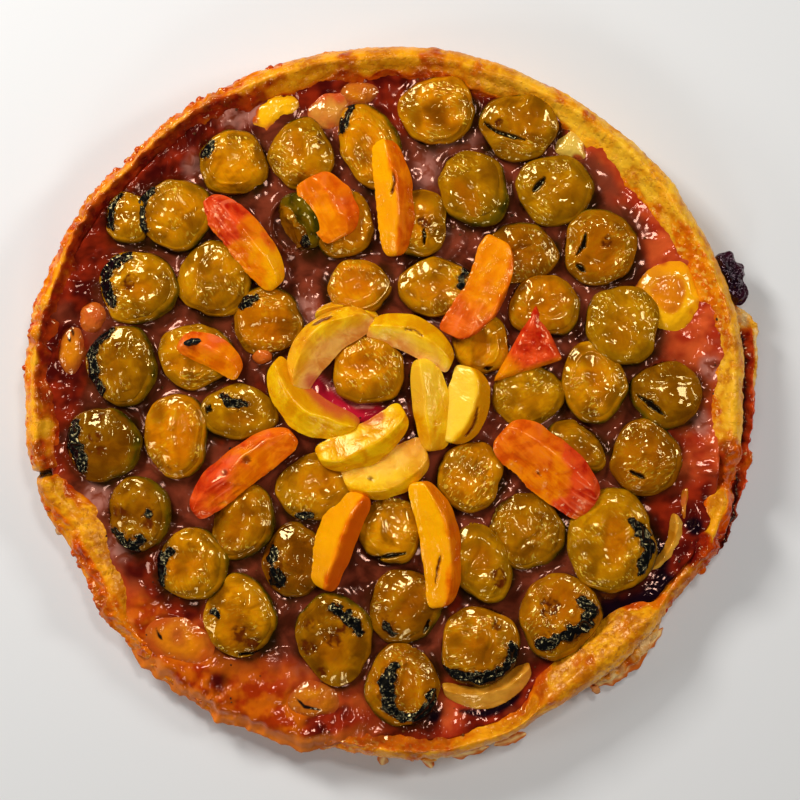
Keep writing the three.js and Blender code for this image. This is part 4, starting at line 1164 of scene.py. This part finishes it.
# The peach slices. Wedges of ripe peach laid among the plums: two cut faces that meet in a ridge,
# fibrous along their length, yellow to orange, red towards the stone, torn and ruffled at thin edges.
SLICE_SIDES = 76
SLICE_STEPS = 96
# Slices that sank till only their upper half stands up: place, then as for the slices above
LOW_SLICES = {
    "petal_behind": ((-17.5, 38.0, 20.6), (26, 6, 7), (-4, 4, 0), 0.2, 0.5,
        (0.0, 0.0, 0.3, 0.6, 0.0, 0.0)),
    "low_slice_right": ((114.6, -57.2, 17.3), (25, 8.5, 6.5), (66, -4, 0), 0.2, 0.36,
        (0.0, 0.0, 0.5, 0.6, 0.0, 0.1)),
    "low_slice_bottom": ((40.4, -115.2, 18.6), (37, 10.5, 8), (14, -7, -6), 0.1, 0.36,
        (0.0, 0.1, 0.4, 0.3, 0.0, 0.0)),
    "low_bit_right": ((121.2, -40.4, 17.6), (13, 5, 4), (84, 0, 0), 0.1, 0.36,
        (0.3, 0.2, 0.0, 1.0, 0.0, 0.1)),
}


def turn_and_roll(points, place, turn, roll):
    """Rolls points about their length, turns them about the upright axis and moves them to place."""
    a, t = math.radians(roll), math.radians(turn)
    y = points[..., 1] * math.cos(a) - points[..., 2] * math.sin(a)
    z = points[..., 1] * math.sin(a) + points[..., 2] * math.cos(a)
    x = points[..., 0]
    across = x * math.sin(t) + y * math.cos(t)
    return np.stack([x * math.cos(t) - y * math.sin(t) + place[0], across + place[1], z + place[2]], -1)


def dark_marks(world, place, slits, spots, ragged):
    """The slits and dark spots of a piece, from strokes and rounds about its middle."""
    x, y = world[..., 0] - place[0], world[..., 1] - place[1]
    above = world[..., 2] > place[2]
    slit_marks = strokes(x, y, slits, 0.3 * ragged, 0.1) * above
    return slit_marks, dots(x, y, spots, 0.6 * ragged, -0.7, 0.5) * above


def slice_rings(place, seed, relief, sizes, lie, ridge, blunt, tints, slits=(), spots=()):
    """A section carried along the length: its top falls from the ridge to both edges as one minus
    distance^1.2 and its underside is round. The section swells and shrinks as sin(t)^blunt and
    shifts sideways with the square of the way along. Creases of a given relief run the long way."""
    length, width, height = sizes
    turn, bend, roll = lie
    pole = np.linspace(0, math.pi, SLICE_STEPS)[:, None]
    round_ = turn_angles(SLICE_SIDES)
    draw = np.random.default_rng(seed)
    along = -np.cos(pole) + 0 * round_
    ring = np.sin(pole) ** blunt
    u = np.cos(round_) + 0 * along
    drift = draw.uniform(-500, 500, 3)
    wander = ridge + 0.16 * grain(np.stack([along * 2.2, 0 * along, 0 * along], -1) + drift, 1, seed)
    from_ridge = np.where(u > wander, (u - wander) / (1 - wander), (wander - u) / (1 + wander))
    upper = 1 - clamped(from_ridge) ** 1.2
    lower = -0.8 * np.sqrt(clamped(1 - u**2))
    v = np.where(np.sin(round_) > 0, upper, lower)
    lumpy = 1 + 0.07 * grain(np.stack([along * 3, u, 0 * u], -1) + drift, 1, seed + 1)
    x = along * length / 2
    y = u * ring * lumpy * width / 2 + bend * (0.5 - along**2)
    z = v * ring * height / 2
    points = np.stack([x, y, z], -1)
    offset = points + drift
    fibres = creased(offset * [0.22, 1, 1], 2.2, seed + 2, 2)
    lump = rough(offset, 8, seed + 3, 2)
    thin_side = -math.copysign(1, ridge)
    near_thin = step_up(u * thin_side, 0.45, 1.0)
    ruffle = creased(offset, 2.0, seed + 4, 2) * (near_thin + 0.6 * tints[0] * step_up(-along, -0.1, 0.5))
    push = (0.25 * relief * fibres + relief * lump + 0.8 * relief * ruffle) * np.sin(pole) ** 0.5
    points[..., 1] += push * np.cos(round_) * 0.8
    points[..., 2] += push * np.abs(np.sin(round_)) * np.sign(v)
    world = turn_and_roll(points, place, turn, roll)
    red_start, red_end, yellow_edge, skin_edge, yellow_end, pink_edge = tints
    patch = 0.8 * rough(offset, 9, seed + 5, 3) + 0.35 * u + 0.2 * ruffle
    red = red_start * step_up(-along + patch, -0.5, 0.8) + red_end * step_up(along + patch, -0.1, 0.9)
    yellow = yellow_edge * step_up((u - wander) * thin_side + 0.25 * patch, -0.05, 0.25)
    yellow = yellow + yellow_end * step_up(along + patch, -0.4, 0.5)
    skin = skin_edge * step_up((wander - u) * thin_side + 0.12 * patch, 0.0, 0.22)
    pink = pink_edge * step_up((u - wander) * thin_side + 0.3 * patch, 0.25, 0.9)
    cut, burnt = dark_marks(world, place, slits, spots, rough(offset, 2.4, seed + 6, 2))
    world[..., 2] -= 1.4 * cut + 0.5 * burnt
    marks = {
        "red": clamped(red),
        "yellow": clamped(yellow),
        "skin": clamped(skin),
        "pink": clamped(pink),
        "along": offset[..., 0],
        "across": offset[..., 1] + offset[..., 2],
        "cut": clamped(cut + 0.8 * burnt),
        "pool": step_up(stain(world[..., 0], world[..., 1], BERRY_STAINS) + 0.35 * patch, 0.35, 1.0),
        "char": 0 * cut,
    }
    return world, marks


def peach_finish(name, flesh, bright, reds, thin_edge, skin, wet):
    """Baked peach: wet fibrous flesh between two tones, stained red, with a paler thin edge and a
    darker skin beyond the ridge."""
    f = Finish(name, IOR=1.45, Specular_IOR_Level=0.45, Specular_Tint=(1, 0.80, 0.40),
               Subsurface_Weight=0.2, Subsurface_Radius=(1, 0.4, 0.05), Subsurface_Scale=0.0025)
    cloud = f.noise(7, 3, 0.55, 0.4)
    streak = f.streaks(14, 2.2)
    blush = f.mottled(*reds, cloud * 0.7 + streak * 0.3, 0.34, 0.60)
    colour = f.coats(
        f.mottled(flesh, bright, cloud * 0.8 + streak * 0.2, 0.38, 0.62),
        (thin_edge, f.mark("yellow")),
        (skin, f.mark("skin")),
        (blush, f.mark("red")),
        (f.mottled((0.72, 0.20, 0.03), (0.96, 0.46, 0.11), cloud, 0.3, 0.65), f.mark("pink")),
        ((1.0, 0.24, 0.10), f.mark("red") * f.between(streak, 0.58, 0.70) * 0.35),
        ((0.56, 0.012, 0.028), f.mark("pool") * 0.7),
        # dark in the slits, painted shade, and in the burnt spots and the shard's dark patches, their own
        # colour
        ((0.15, 0.014, 0.002), f.mark("cut")),
        ((0.006, 0.008, 0.010), f.between(f.mark("char"), 0.3, 0.6)),
    )
    height = cloud * 0.7 + streak * 0.08
    return f.surface(
        Base_Color=colour, Roughness=f.between(cloud, 0.3, 0.7, *wet), Normal=f.bump(height, 1.0))


PEACH_COLOURS = {
    "baked_peach": (
        (0.72, 0.105, 0.0005), (0.95, 0.25, 0.0008), ((0.48, 0.010, 0.002), (0.84, 0.075, 0.010)),
        (1.0, 0.41, 0.001), (0.64, 0.095, 0.0005), (0.12, 0.24)),
    "pale_peach": (
        (0.78, 0.30, 0.0005), (0.98, 0.53, 0.002), ((0.60, 0.10, 0.01), (0.72, 0.18, 0.03)),
        (1.0, 0.62, 0.035), (0.70, 0.26, 0.001), (0.16, 0.30)),
    "soaked_peach": (
        (0.52, 0.18, 0.006), (0.80, 0.36, 0.030), ((0.40, 0.030, 0.004), (0.60, 0.08, 0.01)),
        (0.72, 0.38, 0.05), (0.40, 0.12, 0.002), (0.06, 0.13)),
}
SLICE_SEED = 5000
SLICE_SEED_STEP = 41
LOW_SLICE_SEED = 5990
# How much the surface is creased and lumpy
PEACH_RELIEF = 0.34
PETAL_RELIEF = 0.18
LOW_RELIEF = 0.2

peach_material, petal_material, soaked_material = (
    peach_finish(name, *colours) for name, colours in PEACH_COLOURS.items())
for material, slot_name, rows, relief in (
    (peach_material, "peach", SLICES, PEACH_RELIEF), (petal_material, "pale_peach", PETALS, PETAL_RELIEF),
):
    for number, (name, (node, shift, *form)) in enumerate(rows.items()):
        seed = SLICE_SEED + SLICE_SEED_STEP * number + len(rows)
        rings, marks = slice_rings(node_middle(node)[0] + shift, seed, relief, *form)
        finish_piece(turned_mesh(name, rings, marks), material, node)
for number, (name, (place, *form)) in enumerate(LOW_SLICES.items()):
    material = petal_material if name == "petal_behind" else soaked_material
    rings, marks = slice_rings(place, LOW_SLICE_SEED + number, LOW_RELIEF, *form)
    finish_piece(turned_mesh(name, rings, marks), material)


# The red wedge and the burnt flake on the curl. The wedge is a three-cornered end of a peach slice
# with its red stone side up; the flake is a sliver of skin that charred on the curled slice.
MOUND_SIDES = 96
MOUND_LOW_RINGS = 9
MOUND_TOP_RINGS = 36


def mound_rings(place, outline, rise, depth, flat, lean, towards, seed, relief=0.5):
    """A mound over any outline given as a radius by direction: the top is one minus share^flat, the
    underside a quarter oval. Returns the rings, the share of the outline, and the offset places."""
    angle = turn_angles(MOUND_SIDES)
    edge = outline(angle)
    low = np.linspace(0, 1, MOUND_LOW_RINGS + 1)[:-1, None] * math.pi / 2
    share = np.vstack([np.sin(low) + 0 * angle, np.linspace(1, 0, MOUND_TOP_RINGS)[:, None] + 0 * angle])
    top = rise * (1 - share**flat)
    height = np.vstack([-depth * np.cos(low) + 0 * angle, top[len(low) :]])
    points = np.stack([edge * share * np.cos(angle), edge * share * np.sin(angle), height], -1)
    offset = points + np.random.default_rng(seed).uniform(-500, 500, 3)
    upper = np.vstack([0 * low + 0 * angle, 1 + 0 * top[len(low) :]])
    push = relief * (0.6 * rough(offset, 6, seed, 2) + 0.4 * creased(offset, 2.6, seed + 1, 2))
    points[..., 2] += upper * push * step_up(share, 0.02, 0.2)
    return place_points(points, place, 0, lean, towards), share * upper + 2 * (1 - upper), offset


def cornered(corners, sharp=9):
    """An outline with rounded corners: each side is a wall, and the radius in a direction is the
    soft least of the distances to the walls."""
    corners = np.array(corners, float)
    runs = np.roll(corners, -1, axis=0) - corners
    walls = np.stack([runs[:, 1], -runs[:, 0]], -1) / np.hypot(*runs.T)[:, None]
    off = np.sum(walls * corners, axis=1)

    def radius(angle):
        facing = walls[:, :1] * np.cos(angle) + walls[:, 1:] * np.sin(angle)
        return 1 / np.sum(np.maximum(facing / off[:, None], 0) ** sharp, axis=0) ** (1 / sharp)

    return radius


def oval(half_length, half_width, turn, seed, rugged=1.0):
    """An oval outline turned to a direction, uneven by sines of 3, 5 and, when rugged, 9 turns."""
    phase = np.random.default_rng(seed).uniform(0, 6.28, 3)

    def radius(angle):
        a = angle - math.radians(turn)
        uneven = 1 + rugged * (0.05 * np.sin(3 * a + phase[0]) + 0.04 * np.sin(5 * a + phase[1]))
        uneven = uneven + (rugged - 1) * 0.07 * np.sin(9 * a + phase[2])
        return uneven / np.hypot(np.cos(a) / half_length, np.sin(a) / half_width)

    return radius


shard_place = node_middle("plum_half_with_shard")[0] + [-3.5, -9.3, 3.0]
shard_outline = cornered([(-15.5, -13.5), (13.5, -4), (2.5, 19)], 14)
shard, shard_share, shard_offset = mound_rings(
    shard_place, shard_outline, rise=3.2, depth=4.5, flat=7, lean=6, towards=250, seed=6100, relief=0.55)
tip = step_up(-(shard[..., 0] - shard_place[0]) - (shard[..., 1] - shard_place[1]), 6, 16)
low_edge = step_up(-(shard[..., 1] - shard_place[1]) + 0.32 * (shard[..., 0] - shard_place[0]), 5.5, 8.5)
shard_marks = {
    "red": 1 - 0.9 * np.maximum(tip, low_edge),
    "yellow": 0.5 * tip,
    "skin": 0 * tip,
    "pink": 0 * tip,
    "cut": 0.3 * step_up(rough(shard_offset, 8, 6120, 2), 0.0, 0.6) * step_up(shard_share, 0.9, 0.4),
    "char": 0 * tip,
}
shard = turned_mesh("shard_red_wedge", shard, shard_marks)
finish_piece(shard, peach_material, "plum_half_with_shard")

flake_place = node_middle("plum_half_with_curl")[0] + [-1.8, 5.2, 10.0]
flake, flake_share, _ = mound_rings(
    flake_place, oval(3.6, 1.5, 12, 6200), rise=0.9, depth=0.8, flat=2, lean=0, towards=0, seed=6200)
flake_marks = {k: 0 * flake_share for k in ("red", "yellow", "skin", "pink", "cut")}
flake_marks["char"] = 0 * flake_share + 1
finish_piece(turned_mesh("curl_burnt_flake", flake, flake_marks), peach_material)


# The sunk fruit. Plum halves and slices that sank into the custard while it was still liquid: only
# their tops stand up, ochre, orange or pink under a skin of custard.
def sunk_finish():
    """Fruit seen through a film: ochre, mixed with orange, pink and cream, custard-coloured at its
    border."""
    f = Finish("sunk_fruit", IOR=1.45, Specular_IOR_Level=0.7, Specular_Tint=(1, 0.80, 0.5))
    cloud = f.noise(5, 4, 0.6, 0.5)
    film = f.mix((0.24, 0.045, 0.014), (0.60, 0.085, 0.004), f.mark("orange_flesh"))
    colour = f.coats(
        f.mottled((0.34, 0.095, 0.001), (0.58, 0.19, 0.002), cloud, 0.32, 0.66),
        ((0.88, 0.25, 0.002), f.mark("orange_flesh")),
        ((0.58, 0.085, 0.016), f.mark("pink_flesh")),
        ((0.80, 0.50, 0.07), f.mark("cream_flesh")),
        ((1.0, 0.46, 0.004), f.mark("yellow_flesh")),
        (film, f.mark("film")),
        # near black in the slits: painted shade in the grooves
        ((0.008, 0.003, 0.003), f.mark("cut")),
    )
    height = f.noise(3.4, 1, 0.5, 0.4) * 0.5 + f.noise(7, 1) * 1.0
    return f.surface(
        Base_Color=colour, Roughness=f.between(cloud, 0.3, 0.7, 0.08, 0.2), Normal=f.bump(height, 0.9))


SUNK_SEED = 6300
SUNK_SEED_STEP = 13
SUNK_SLITS = {
    "sunk_slice_low_left": [(1.3, [(-10, 5), (-8.6, 2), (-7.4, 0.4)])],
    "sunk_plum_bottom": [(1.5, [(-7, 1), (-3.6, -2.4), (3, -4)])],
    "sunk_plum_left": [(1.2, [(0.4, 9), (1.2, 6)]), (1.2, [(-0.6, 6), (0, 3.4)])],
}
SUNK_OUTLINES = {
    "sunk_pale_slice": [(-10, -5.5), (7.5, -9), (5.5, 3.5), (0.8, 8.6), (-5.2, 4)],
    "sunk_yellow_slice": [(-3.6, -10.6), (11, 0), (12.5, 5.8), (1.4, 11.4), (-8.4, 3.8), (-10.6, -5)],
}
sunk_material = sunk_finish()
for number, (name, (sx, sy, length, width, turn, rise, shares)) in enumerate(SUNK.items()):
    seed = SUNK_SEED + SUNK_SEED_STEP * number
    where = (sx, sy, LEVEL - 1.0)
    outline = oval(length / 2 + 0.8, width / 2 + 0.8, turn, seed)
    if name in SUNK_OUTLINES:
        outline = cornered(SUNK_OUTLINES[name], 12)
    mound, share, offset = mound_rings(
        where, outline, rise + 1.0, depth=5, flat=SUNK_FLATNESS, lean=0, towards=0, seed=seed, relief=0.35)
    spread = 0.35 * rough(offset, 7, seed + 2, 2)
    cut, _ = dark_marks(mound, where, SUNK_SLITS.get(name, []), [], rough(offset, 2.4, seed + 3, 2))
    yellow = 0 * share
    if name == "sunk_peach_half":
        away = np.arctan2(mound[..., 1] - sy, mound[..., 0] - sx) + math.radians(50)
        yellow = step_up(share + 0.25 * spread, 0.40, 0.56) * (0.75 + 0.45 * np.cos(away))
        mound[..., 2] += 0.3 * bell(share - 0.7, 0.25) - 0.3 * bell(share - 0.42, 0.14)
    pink = clamped(shares[1] - spread) * (shares[1] > 0.05)
    if name == "sunk_yellow_slice":
        low_right = (mound[..., 0] - sx) * 0.35 - (mound[..., 1] - sy) * 0.94 + 3 * spread
        yellow = 1 - 0.9 * step_up(low_right, 3.0, 6.0)
        pink = step_up(low_right, 3.5, 6.0)
    marks = {
        "orange_flesh": clamped(shares[0] + spread) * (shares[0] > 0.05),
        "pink_flesh": pink,
        "cream_flesh": clamped(shares[2] + spread) * (shares[2] > 0.05),
        "yellow_flesh": clamped(yellow),
        "film": step_up(share + 0.8 * spread, 0.80 if yellow.any() or shares[2] else 0.42, 1.0),
        "cut": cut,
    }
    finish_piece(turned_mesh(name, mound, marks), sunk_material)


# Beads of jam. Jam that boiled over the rim along its left side and at the lower right, and set in
# drops on the outside of the crust, each a small glossy dome half sunk in what it sits on.
BEAD_SIDES = 12
BEAD_RINGS = 7
BEAD_SHARE = 0.75
BEAD_SEED = 7000
BEAD_SIZE_SEED = 7050
# From one direction to another, how many, and the smallest and largest radius
BEAD_REGIONS = [
    (106, 170, 84, 0.9, 2.2), (172, 200, 18, 0.9, 2.0), (204, 218, 16, 0.8, 2.0), (-38, -14, 30, 0.9, 2.4),
]
# The rows of the shell's grid on its outer side, and a little inside its skin
OUTER_ROWS = (34, 57)
INSIDE_SKIN = (0.996, 0.996, 0.985)


def lump_mesh(name, centres, radii, seed, flatness, uneven=0.12):
    """Many small closed domes in one mesh: an oval sphere of a few rings at each centre, each corner
    pushed in or out by its own random share."""
    draw = np.random.default_rng(seed)
    count = len(centres)
    pole = np.linspace(0, math.pi, BEAD_RINGS + 2)[1:-1, None]
    turn = turn_angles(BEAD_SIDES)
    unit = np.stack([np.sin(pole) * np.cos(turn), np.sin(pole) * np.sin(turn), -np.cos(pole) + 0 * turn], -1)
    unit = np.vstack([[[0, 0, -1]], unit.reshape(-1, 3), [[0, 0, 1]]])
    stretch = draw.uniform(0.75, 1.3, (count, 1, 3)) * [1, 1, flatness]
    wobble = draw.uniform(1 - uneven, 1 + uneven, (count, len(unit), 1))
    places = centres[:, None] + unit * stretch * wobble * radii[:, None, None]
    shift = (np.arange(count) * len(unit))[:, None, None]
    quads, caps = closed_faces(BEAD_RINGS, BEAD_SIDES)
    tones = np.repeat(draw.uniform(0, 1, count), len(unit))
    quads, caps = (quads + shift).reshape(-1, 4), (caps + shift).reshape(-1, 3)
    return put_mesh(name, places, quads, caps, {"tone": tones})


def tone_finish(name, first, second, roughness, gloss=0.5, tint=(1, 0.8, 0.5)):
    """A plain surface between two colours, chosen by its own mark."""
    f = Finish(name, IOR=1.45, Roughness=roughness, Specular_IOR_Level=gloss, Specular_Tint=tint)
    height = f.noise(2.4, 1, 0.5) * 0.6
    return f.surface(Base_Color=f.mix(first, second, f.mark("tone")), Normal=f.bump(height, 0.8, 0.8))


def outer_places(first, last, count, seed):
    """Random places on the outside of the crust between two directions, a little inside its skin:
    columns of the shell's grid, and rows on its outer side."""
    draw = np.random.default_rng(seed)
    columns = (draw.uniform(first, last, count) % 360 / 360 * SHELL_SIDES).astype(int) % SHELL_SIDES
    rows = draw.uniform(*OUTER_ROWS, count).astype(int)
    return shell_places[rows, columns] * INSIDE_SKIN


centres, radii = [], []
for number, (first, last, count, small, large) in enumerate(BEAD_REGIONS):
    centres.append(outer_places(first, last, count, BEAD_SEED + number))
    squares = np.random.default_rng(BEAD_SIZE_SEED + number).uniform(small**2, large**2, count)
    radii.append(squares**0.5 * BEAD_SHARE)
bead_radii = np.concatenate(radii)
beads = lump_mesh("jam_beads", np.vstack(centres), bead_radii, seed=7100, flatness=0.55, uneven=0.1)
drop_colours = (0.42, 0.018, 0.002), (0.66, 0.10, 0.002)
drop_finish = tone_finish("set_jam_drops", *drop_colours, 0.16, tint=(1, 0.7, 0.5))
finish_piece(beads, drop_finish)


# Torn flakes. Small flakes and thin leaves of pastry that tore off the foot of the crust, most of them
# at the lower right and in tips at the bottom, cream inside and browned at their edges.
LEAF_SIDES = 20
LEAF_STEPS = 24
LEAF_SEED = 7170
LEAF_SEED_STEP = 9
# Small flakes: place and radius
FLAKES = [
    (148.0, -20.6, 14, 1.6), (-146.2, -21.4, 15, 2.0), (-136.5, -51.6, 14, 2.0), (85.5, -118.0, 9, 2.2),
]
flake_rows = np.array(FLAKES)
flakes = lump_mesh("torn_flakes", flake_rows[:, :3], flake_rows[:, 3], seed=7150, flatness=0.28, uneven=0.3)
finish_piece(flakes, tone_finish("torn_pastry", (0.60, 0.16, 0.02), (0.95, 0.66, 0.28), 0.4))


def leaf_rings(stops, half_width, half_thick, droop, seed):
    """A thin leaf along a curve through the stops: an oval section, ragged at both edges by rough
    fields, drooping outwards, closed to a point at both ends."""
    path = smooth_rows(np.array(stops, float)[:, None], [LEAF_STEPS] * (len(stops) - 1))[:, 0]
    ahead = np.gradient(path[:, :2], axis=0)
    left = np.stack([-ahead[:, 1], ahead[:, 0]], -1) / np.hypot(*ahead.T)[:, None]
    share = np.linspace(0, math.pi, len(path))[:, None]
    round_ = turn_angles(LEAF_SIDES)
    side = np.cos(round_) + 0 * share
    drift = np.random.default_rng(seed).uniform(-500, 500, 3)
    where = np.stack([path[:, :1] + 0 * side, path[:, 1:2] + 0 * side, 3 * side], -1) + drift
    ragged = 1 + 0.45 * rough(where, 4.5, seed, 2) + 0.2 * rough(where, 1.8, seed + 2, 1)
    reach = side * half_width * ragged * np.sin(share) ** 0.6
    x = path[:, :1] + left[:, :1] * reach
    y = path[:, 1:2] + left[:, 1:] * reach
    z = path[:, 2:] + np.sin(round_) * half_thick * np.sin(share) ** 0.4 + droop * reach
    z = z + 0.6 * rough(where, 5, seed + 4, 2)
    pale = 0.75 - np.abs(side) + 0.5 * rough(where, 3, seed + 6, 2)
    return np.stack([x, y, z], -1), {"tone": step_up(pale, 0.0, 0.7)}


# Leaves: the places they run through, half the width, half the thickness, and the droop outwards
LEAVES = {
    "torn_leaf_low_right": (
        [(83, -117.8, 8), (94, -112, 9.5), (104.5, -103, 9.5), (113.5, -92.5, 9)], 2.8, 0.5, 0.3),
    "torn_leaf_bottom": ([(25, -145.6, 11), (33, -143.8, 11.5), (41, -141.4, 11)], 1.8, 0.4, 0.3),
    "torn_tip_left": ([(-1.5, -141.5, 14), (-2.4, -145.5, 13), (-3.4, -149.2, 11.5)], 2.0, 0.6, 0.0),
    "torn_tip_middle": ([(7.6, -141.0, 14), (8.6, -144.5, 13), (9.4, -147.6, 12)], 1.5, 0.6, 0.0),
    "torn_tip_right": ([(13.5, -141.5, 14), (15.4, -146.0, 13), (17.3, -150.4, 11.5)], 2.2, 0.6, 0.0),
    "torn_leaf_bottom_right": ([(43, -141.2, 10), (49.5, -139.0, 11), (56.5, -136.2, 10)], 2.2, 0.4, 0.3),
}
leaf_material = tone_finish("torn_leaf", (0.64, 0.13, 0.010), (0.98, 0.64, 0.23), 0.35)
for number, (name, form) in enumerate(LEAVES.items()):
    leaf = turned_mesh(name, *leaf_rings(*form, LEAF_SEED + LEAF_SEED_STEP * number))
    finish_piece(leaf, leaf_material)


# The burnt jam. A blob that boiled over the rim at the right and burnt black outside it, half on the
# crust's wall.
BURNT_PLACE = (140.0, 53.0, 15.0)
burnt_outline = oval(11.5, 6.2, -68, 7160, 1.8)
burnt_jam, burnt_share, _ = mound_rings(
    BURNT_PLACE, burnt_outline, rise=3.2, depth=7, flat=2.0, lean=10, towards=20, seed=7160, relief=2.4)
burnt_jam = turned_mesh("burnt_jam_right", burnt_jam, {"tone": bell(burnt_share - 1, 0.5)})
burnt_tones = ((0.006, 0.001, 0.004), (0.03, 0.004, 0.010))
burnt_finish = tone_finish("burnt_jam", *burnt_tones, 0.07, 0.8, (1, 0.7, 0.8))
finish_piece(burnt_jam, burnt_finish)


# Scorched specks. Crumbs of burnt fruit and pastry, a millimetre or less, scattered over the custard.
SPECK_SEED = 7200
SPECK_COUNT = 260
SPECK_REACH = 140
SPECK_RADII = (0.25, 0.7)
film_places = np.empty(len(filling.data.vertices) * 3, np.float32)
filling.data.vertices.foreach_get("co", film_places)
film_places = film_places.reshape(-1, 3)[: FILLING_STEPS**2] * 1000
draw = np.random.default_rng(SPECK_SEED)
chosen = film_places[draw.integers(0, len(film_places), SPECK_COUNT)]
chosen = chosen[(chosen[:, 2] > LEVEL - 1) & (np.hypot(chosen[:, 0], chosen[:, 1]) < SPECK_REACH)]
speck_radii = draw.uniform(*SPECK_RADII, len(chosen))
specks = lump_mesh("scorched_specks", chosen, speck_radii, seed=7210, flatness=0.5)
crumb_finish = tone_finish("scorched_crumb", (0.02, 0.006, 0.002), (0.16, 0.045, 0.004), 0.6, 0.2, (1, 1, 1))
finish_piece(specks, crumb_finish)
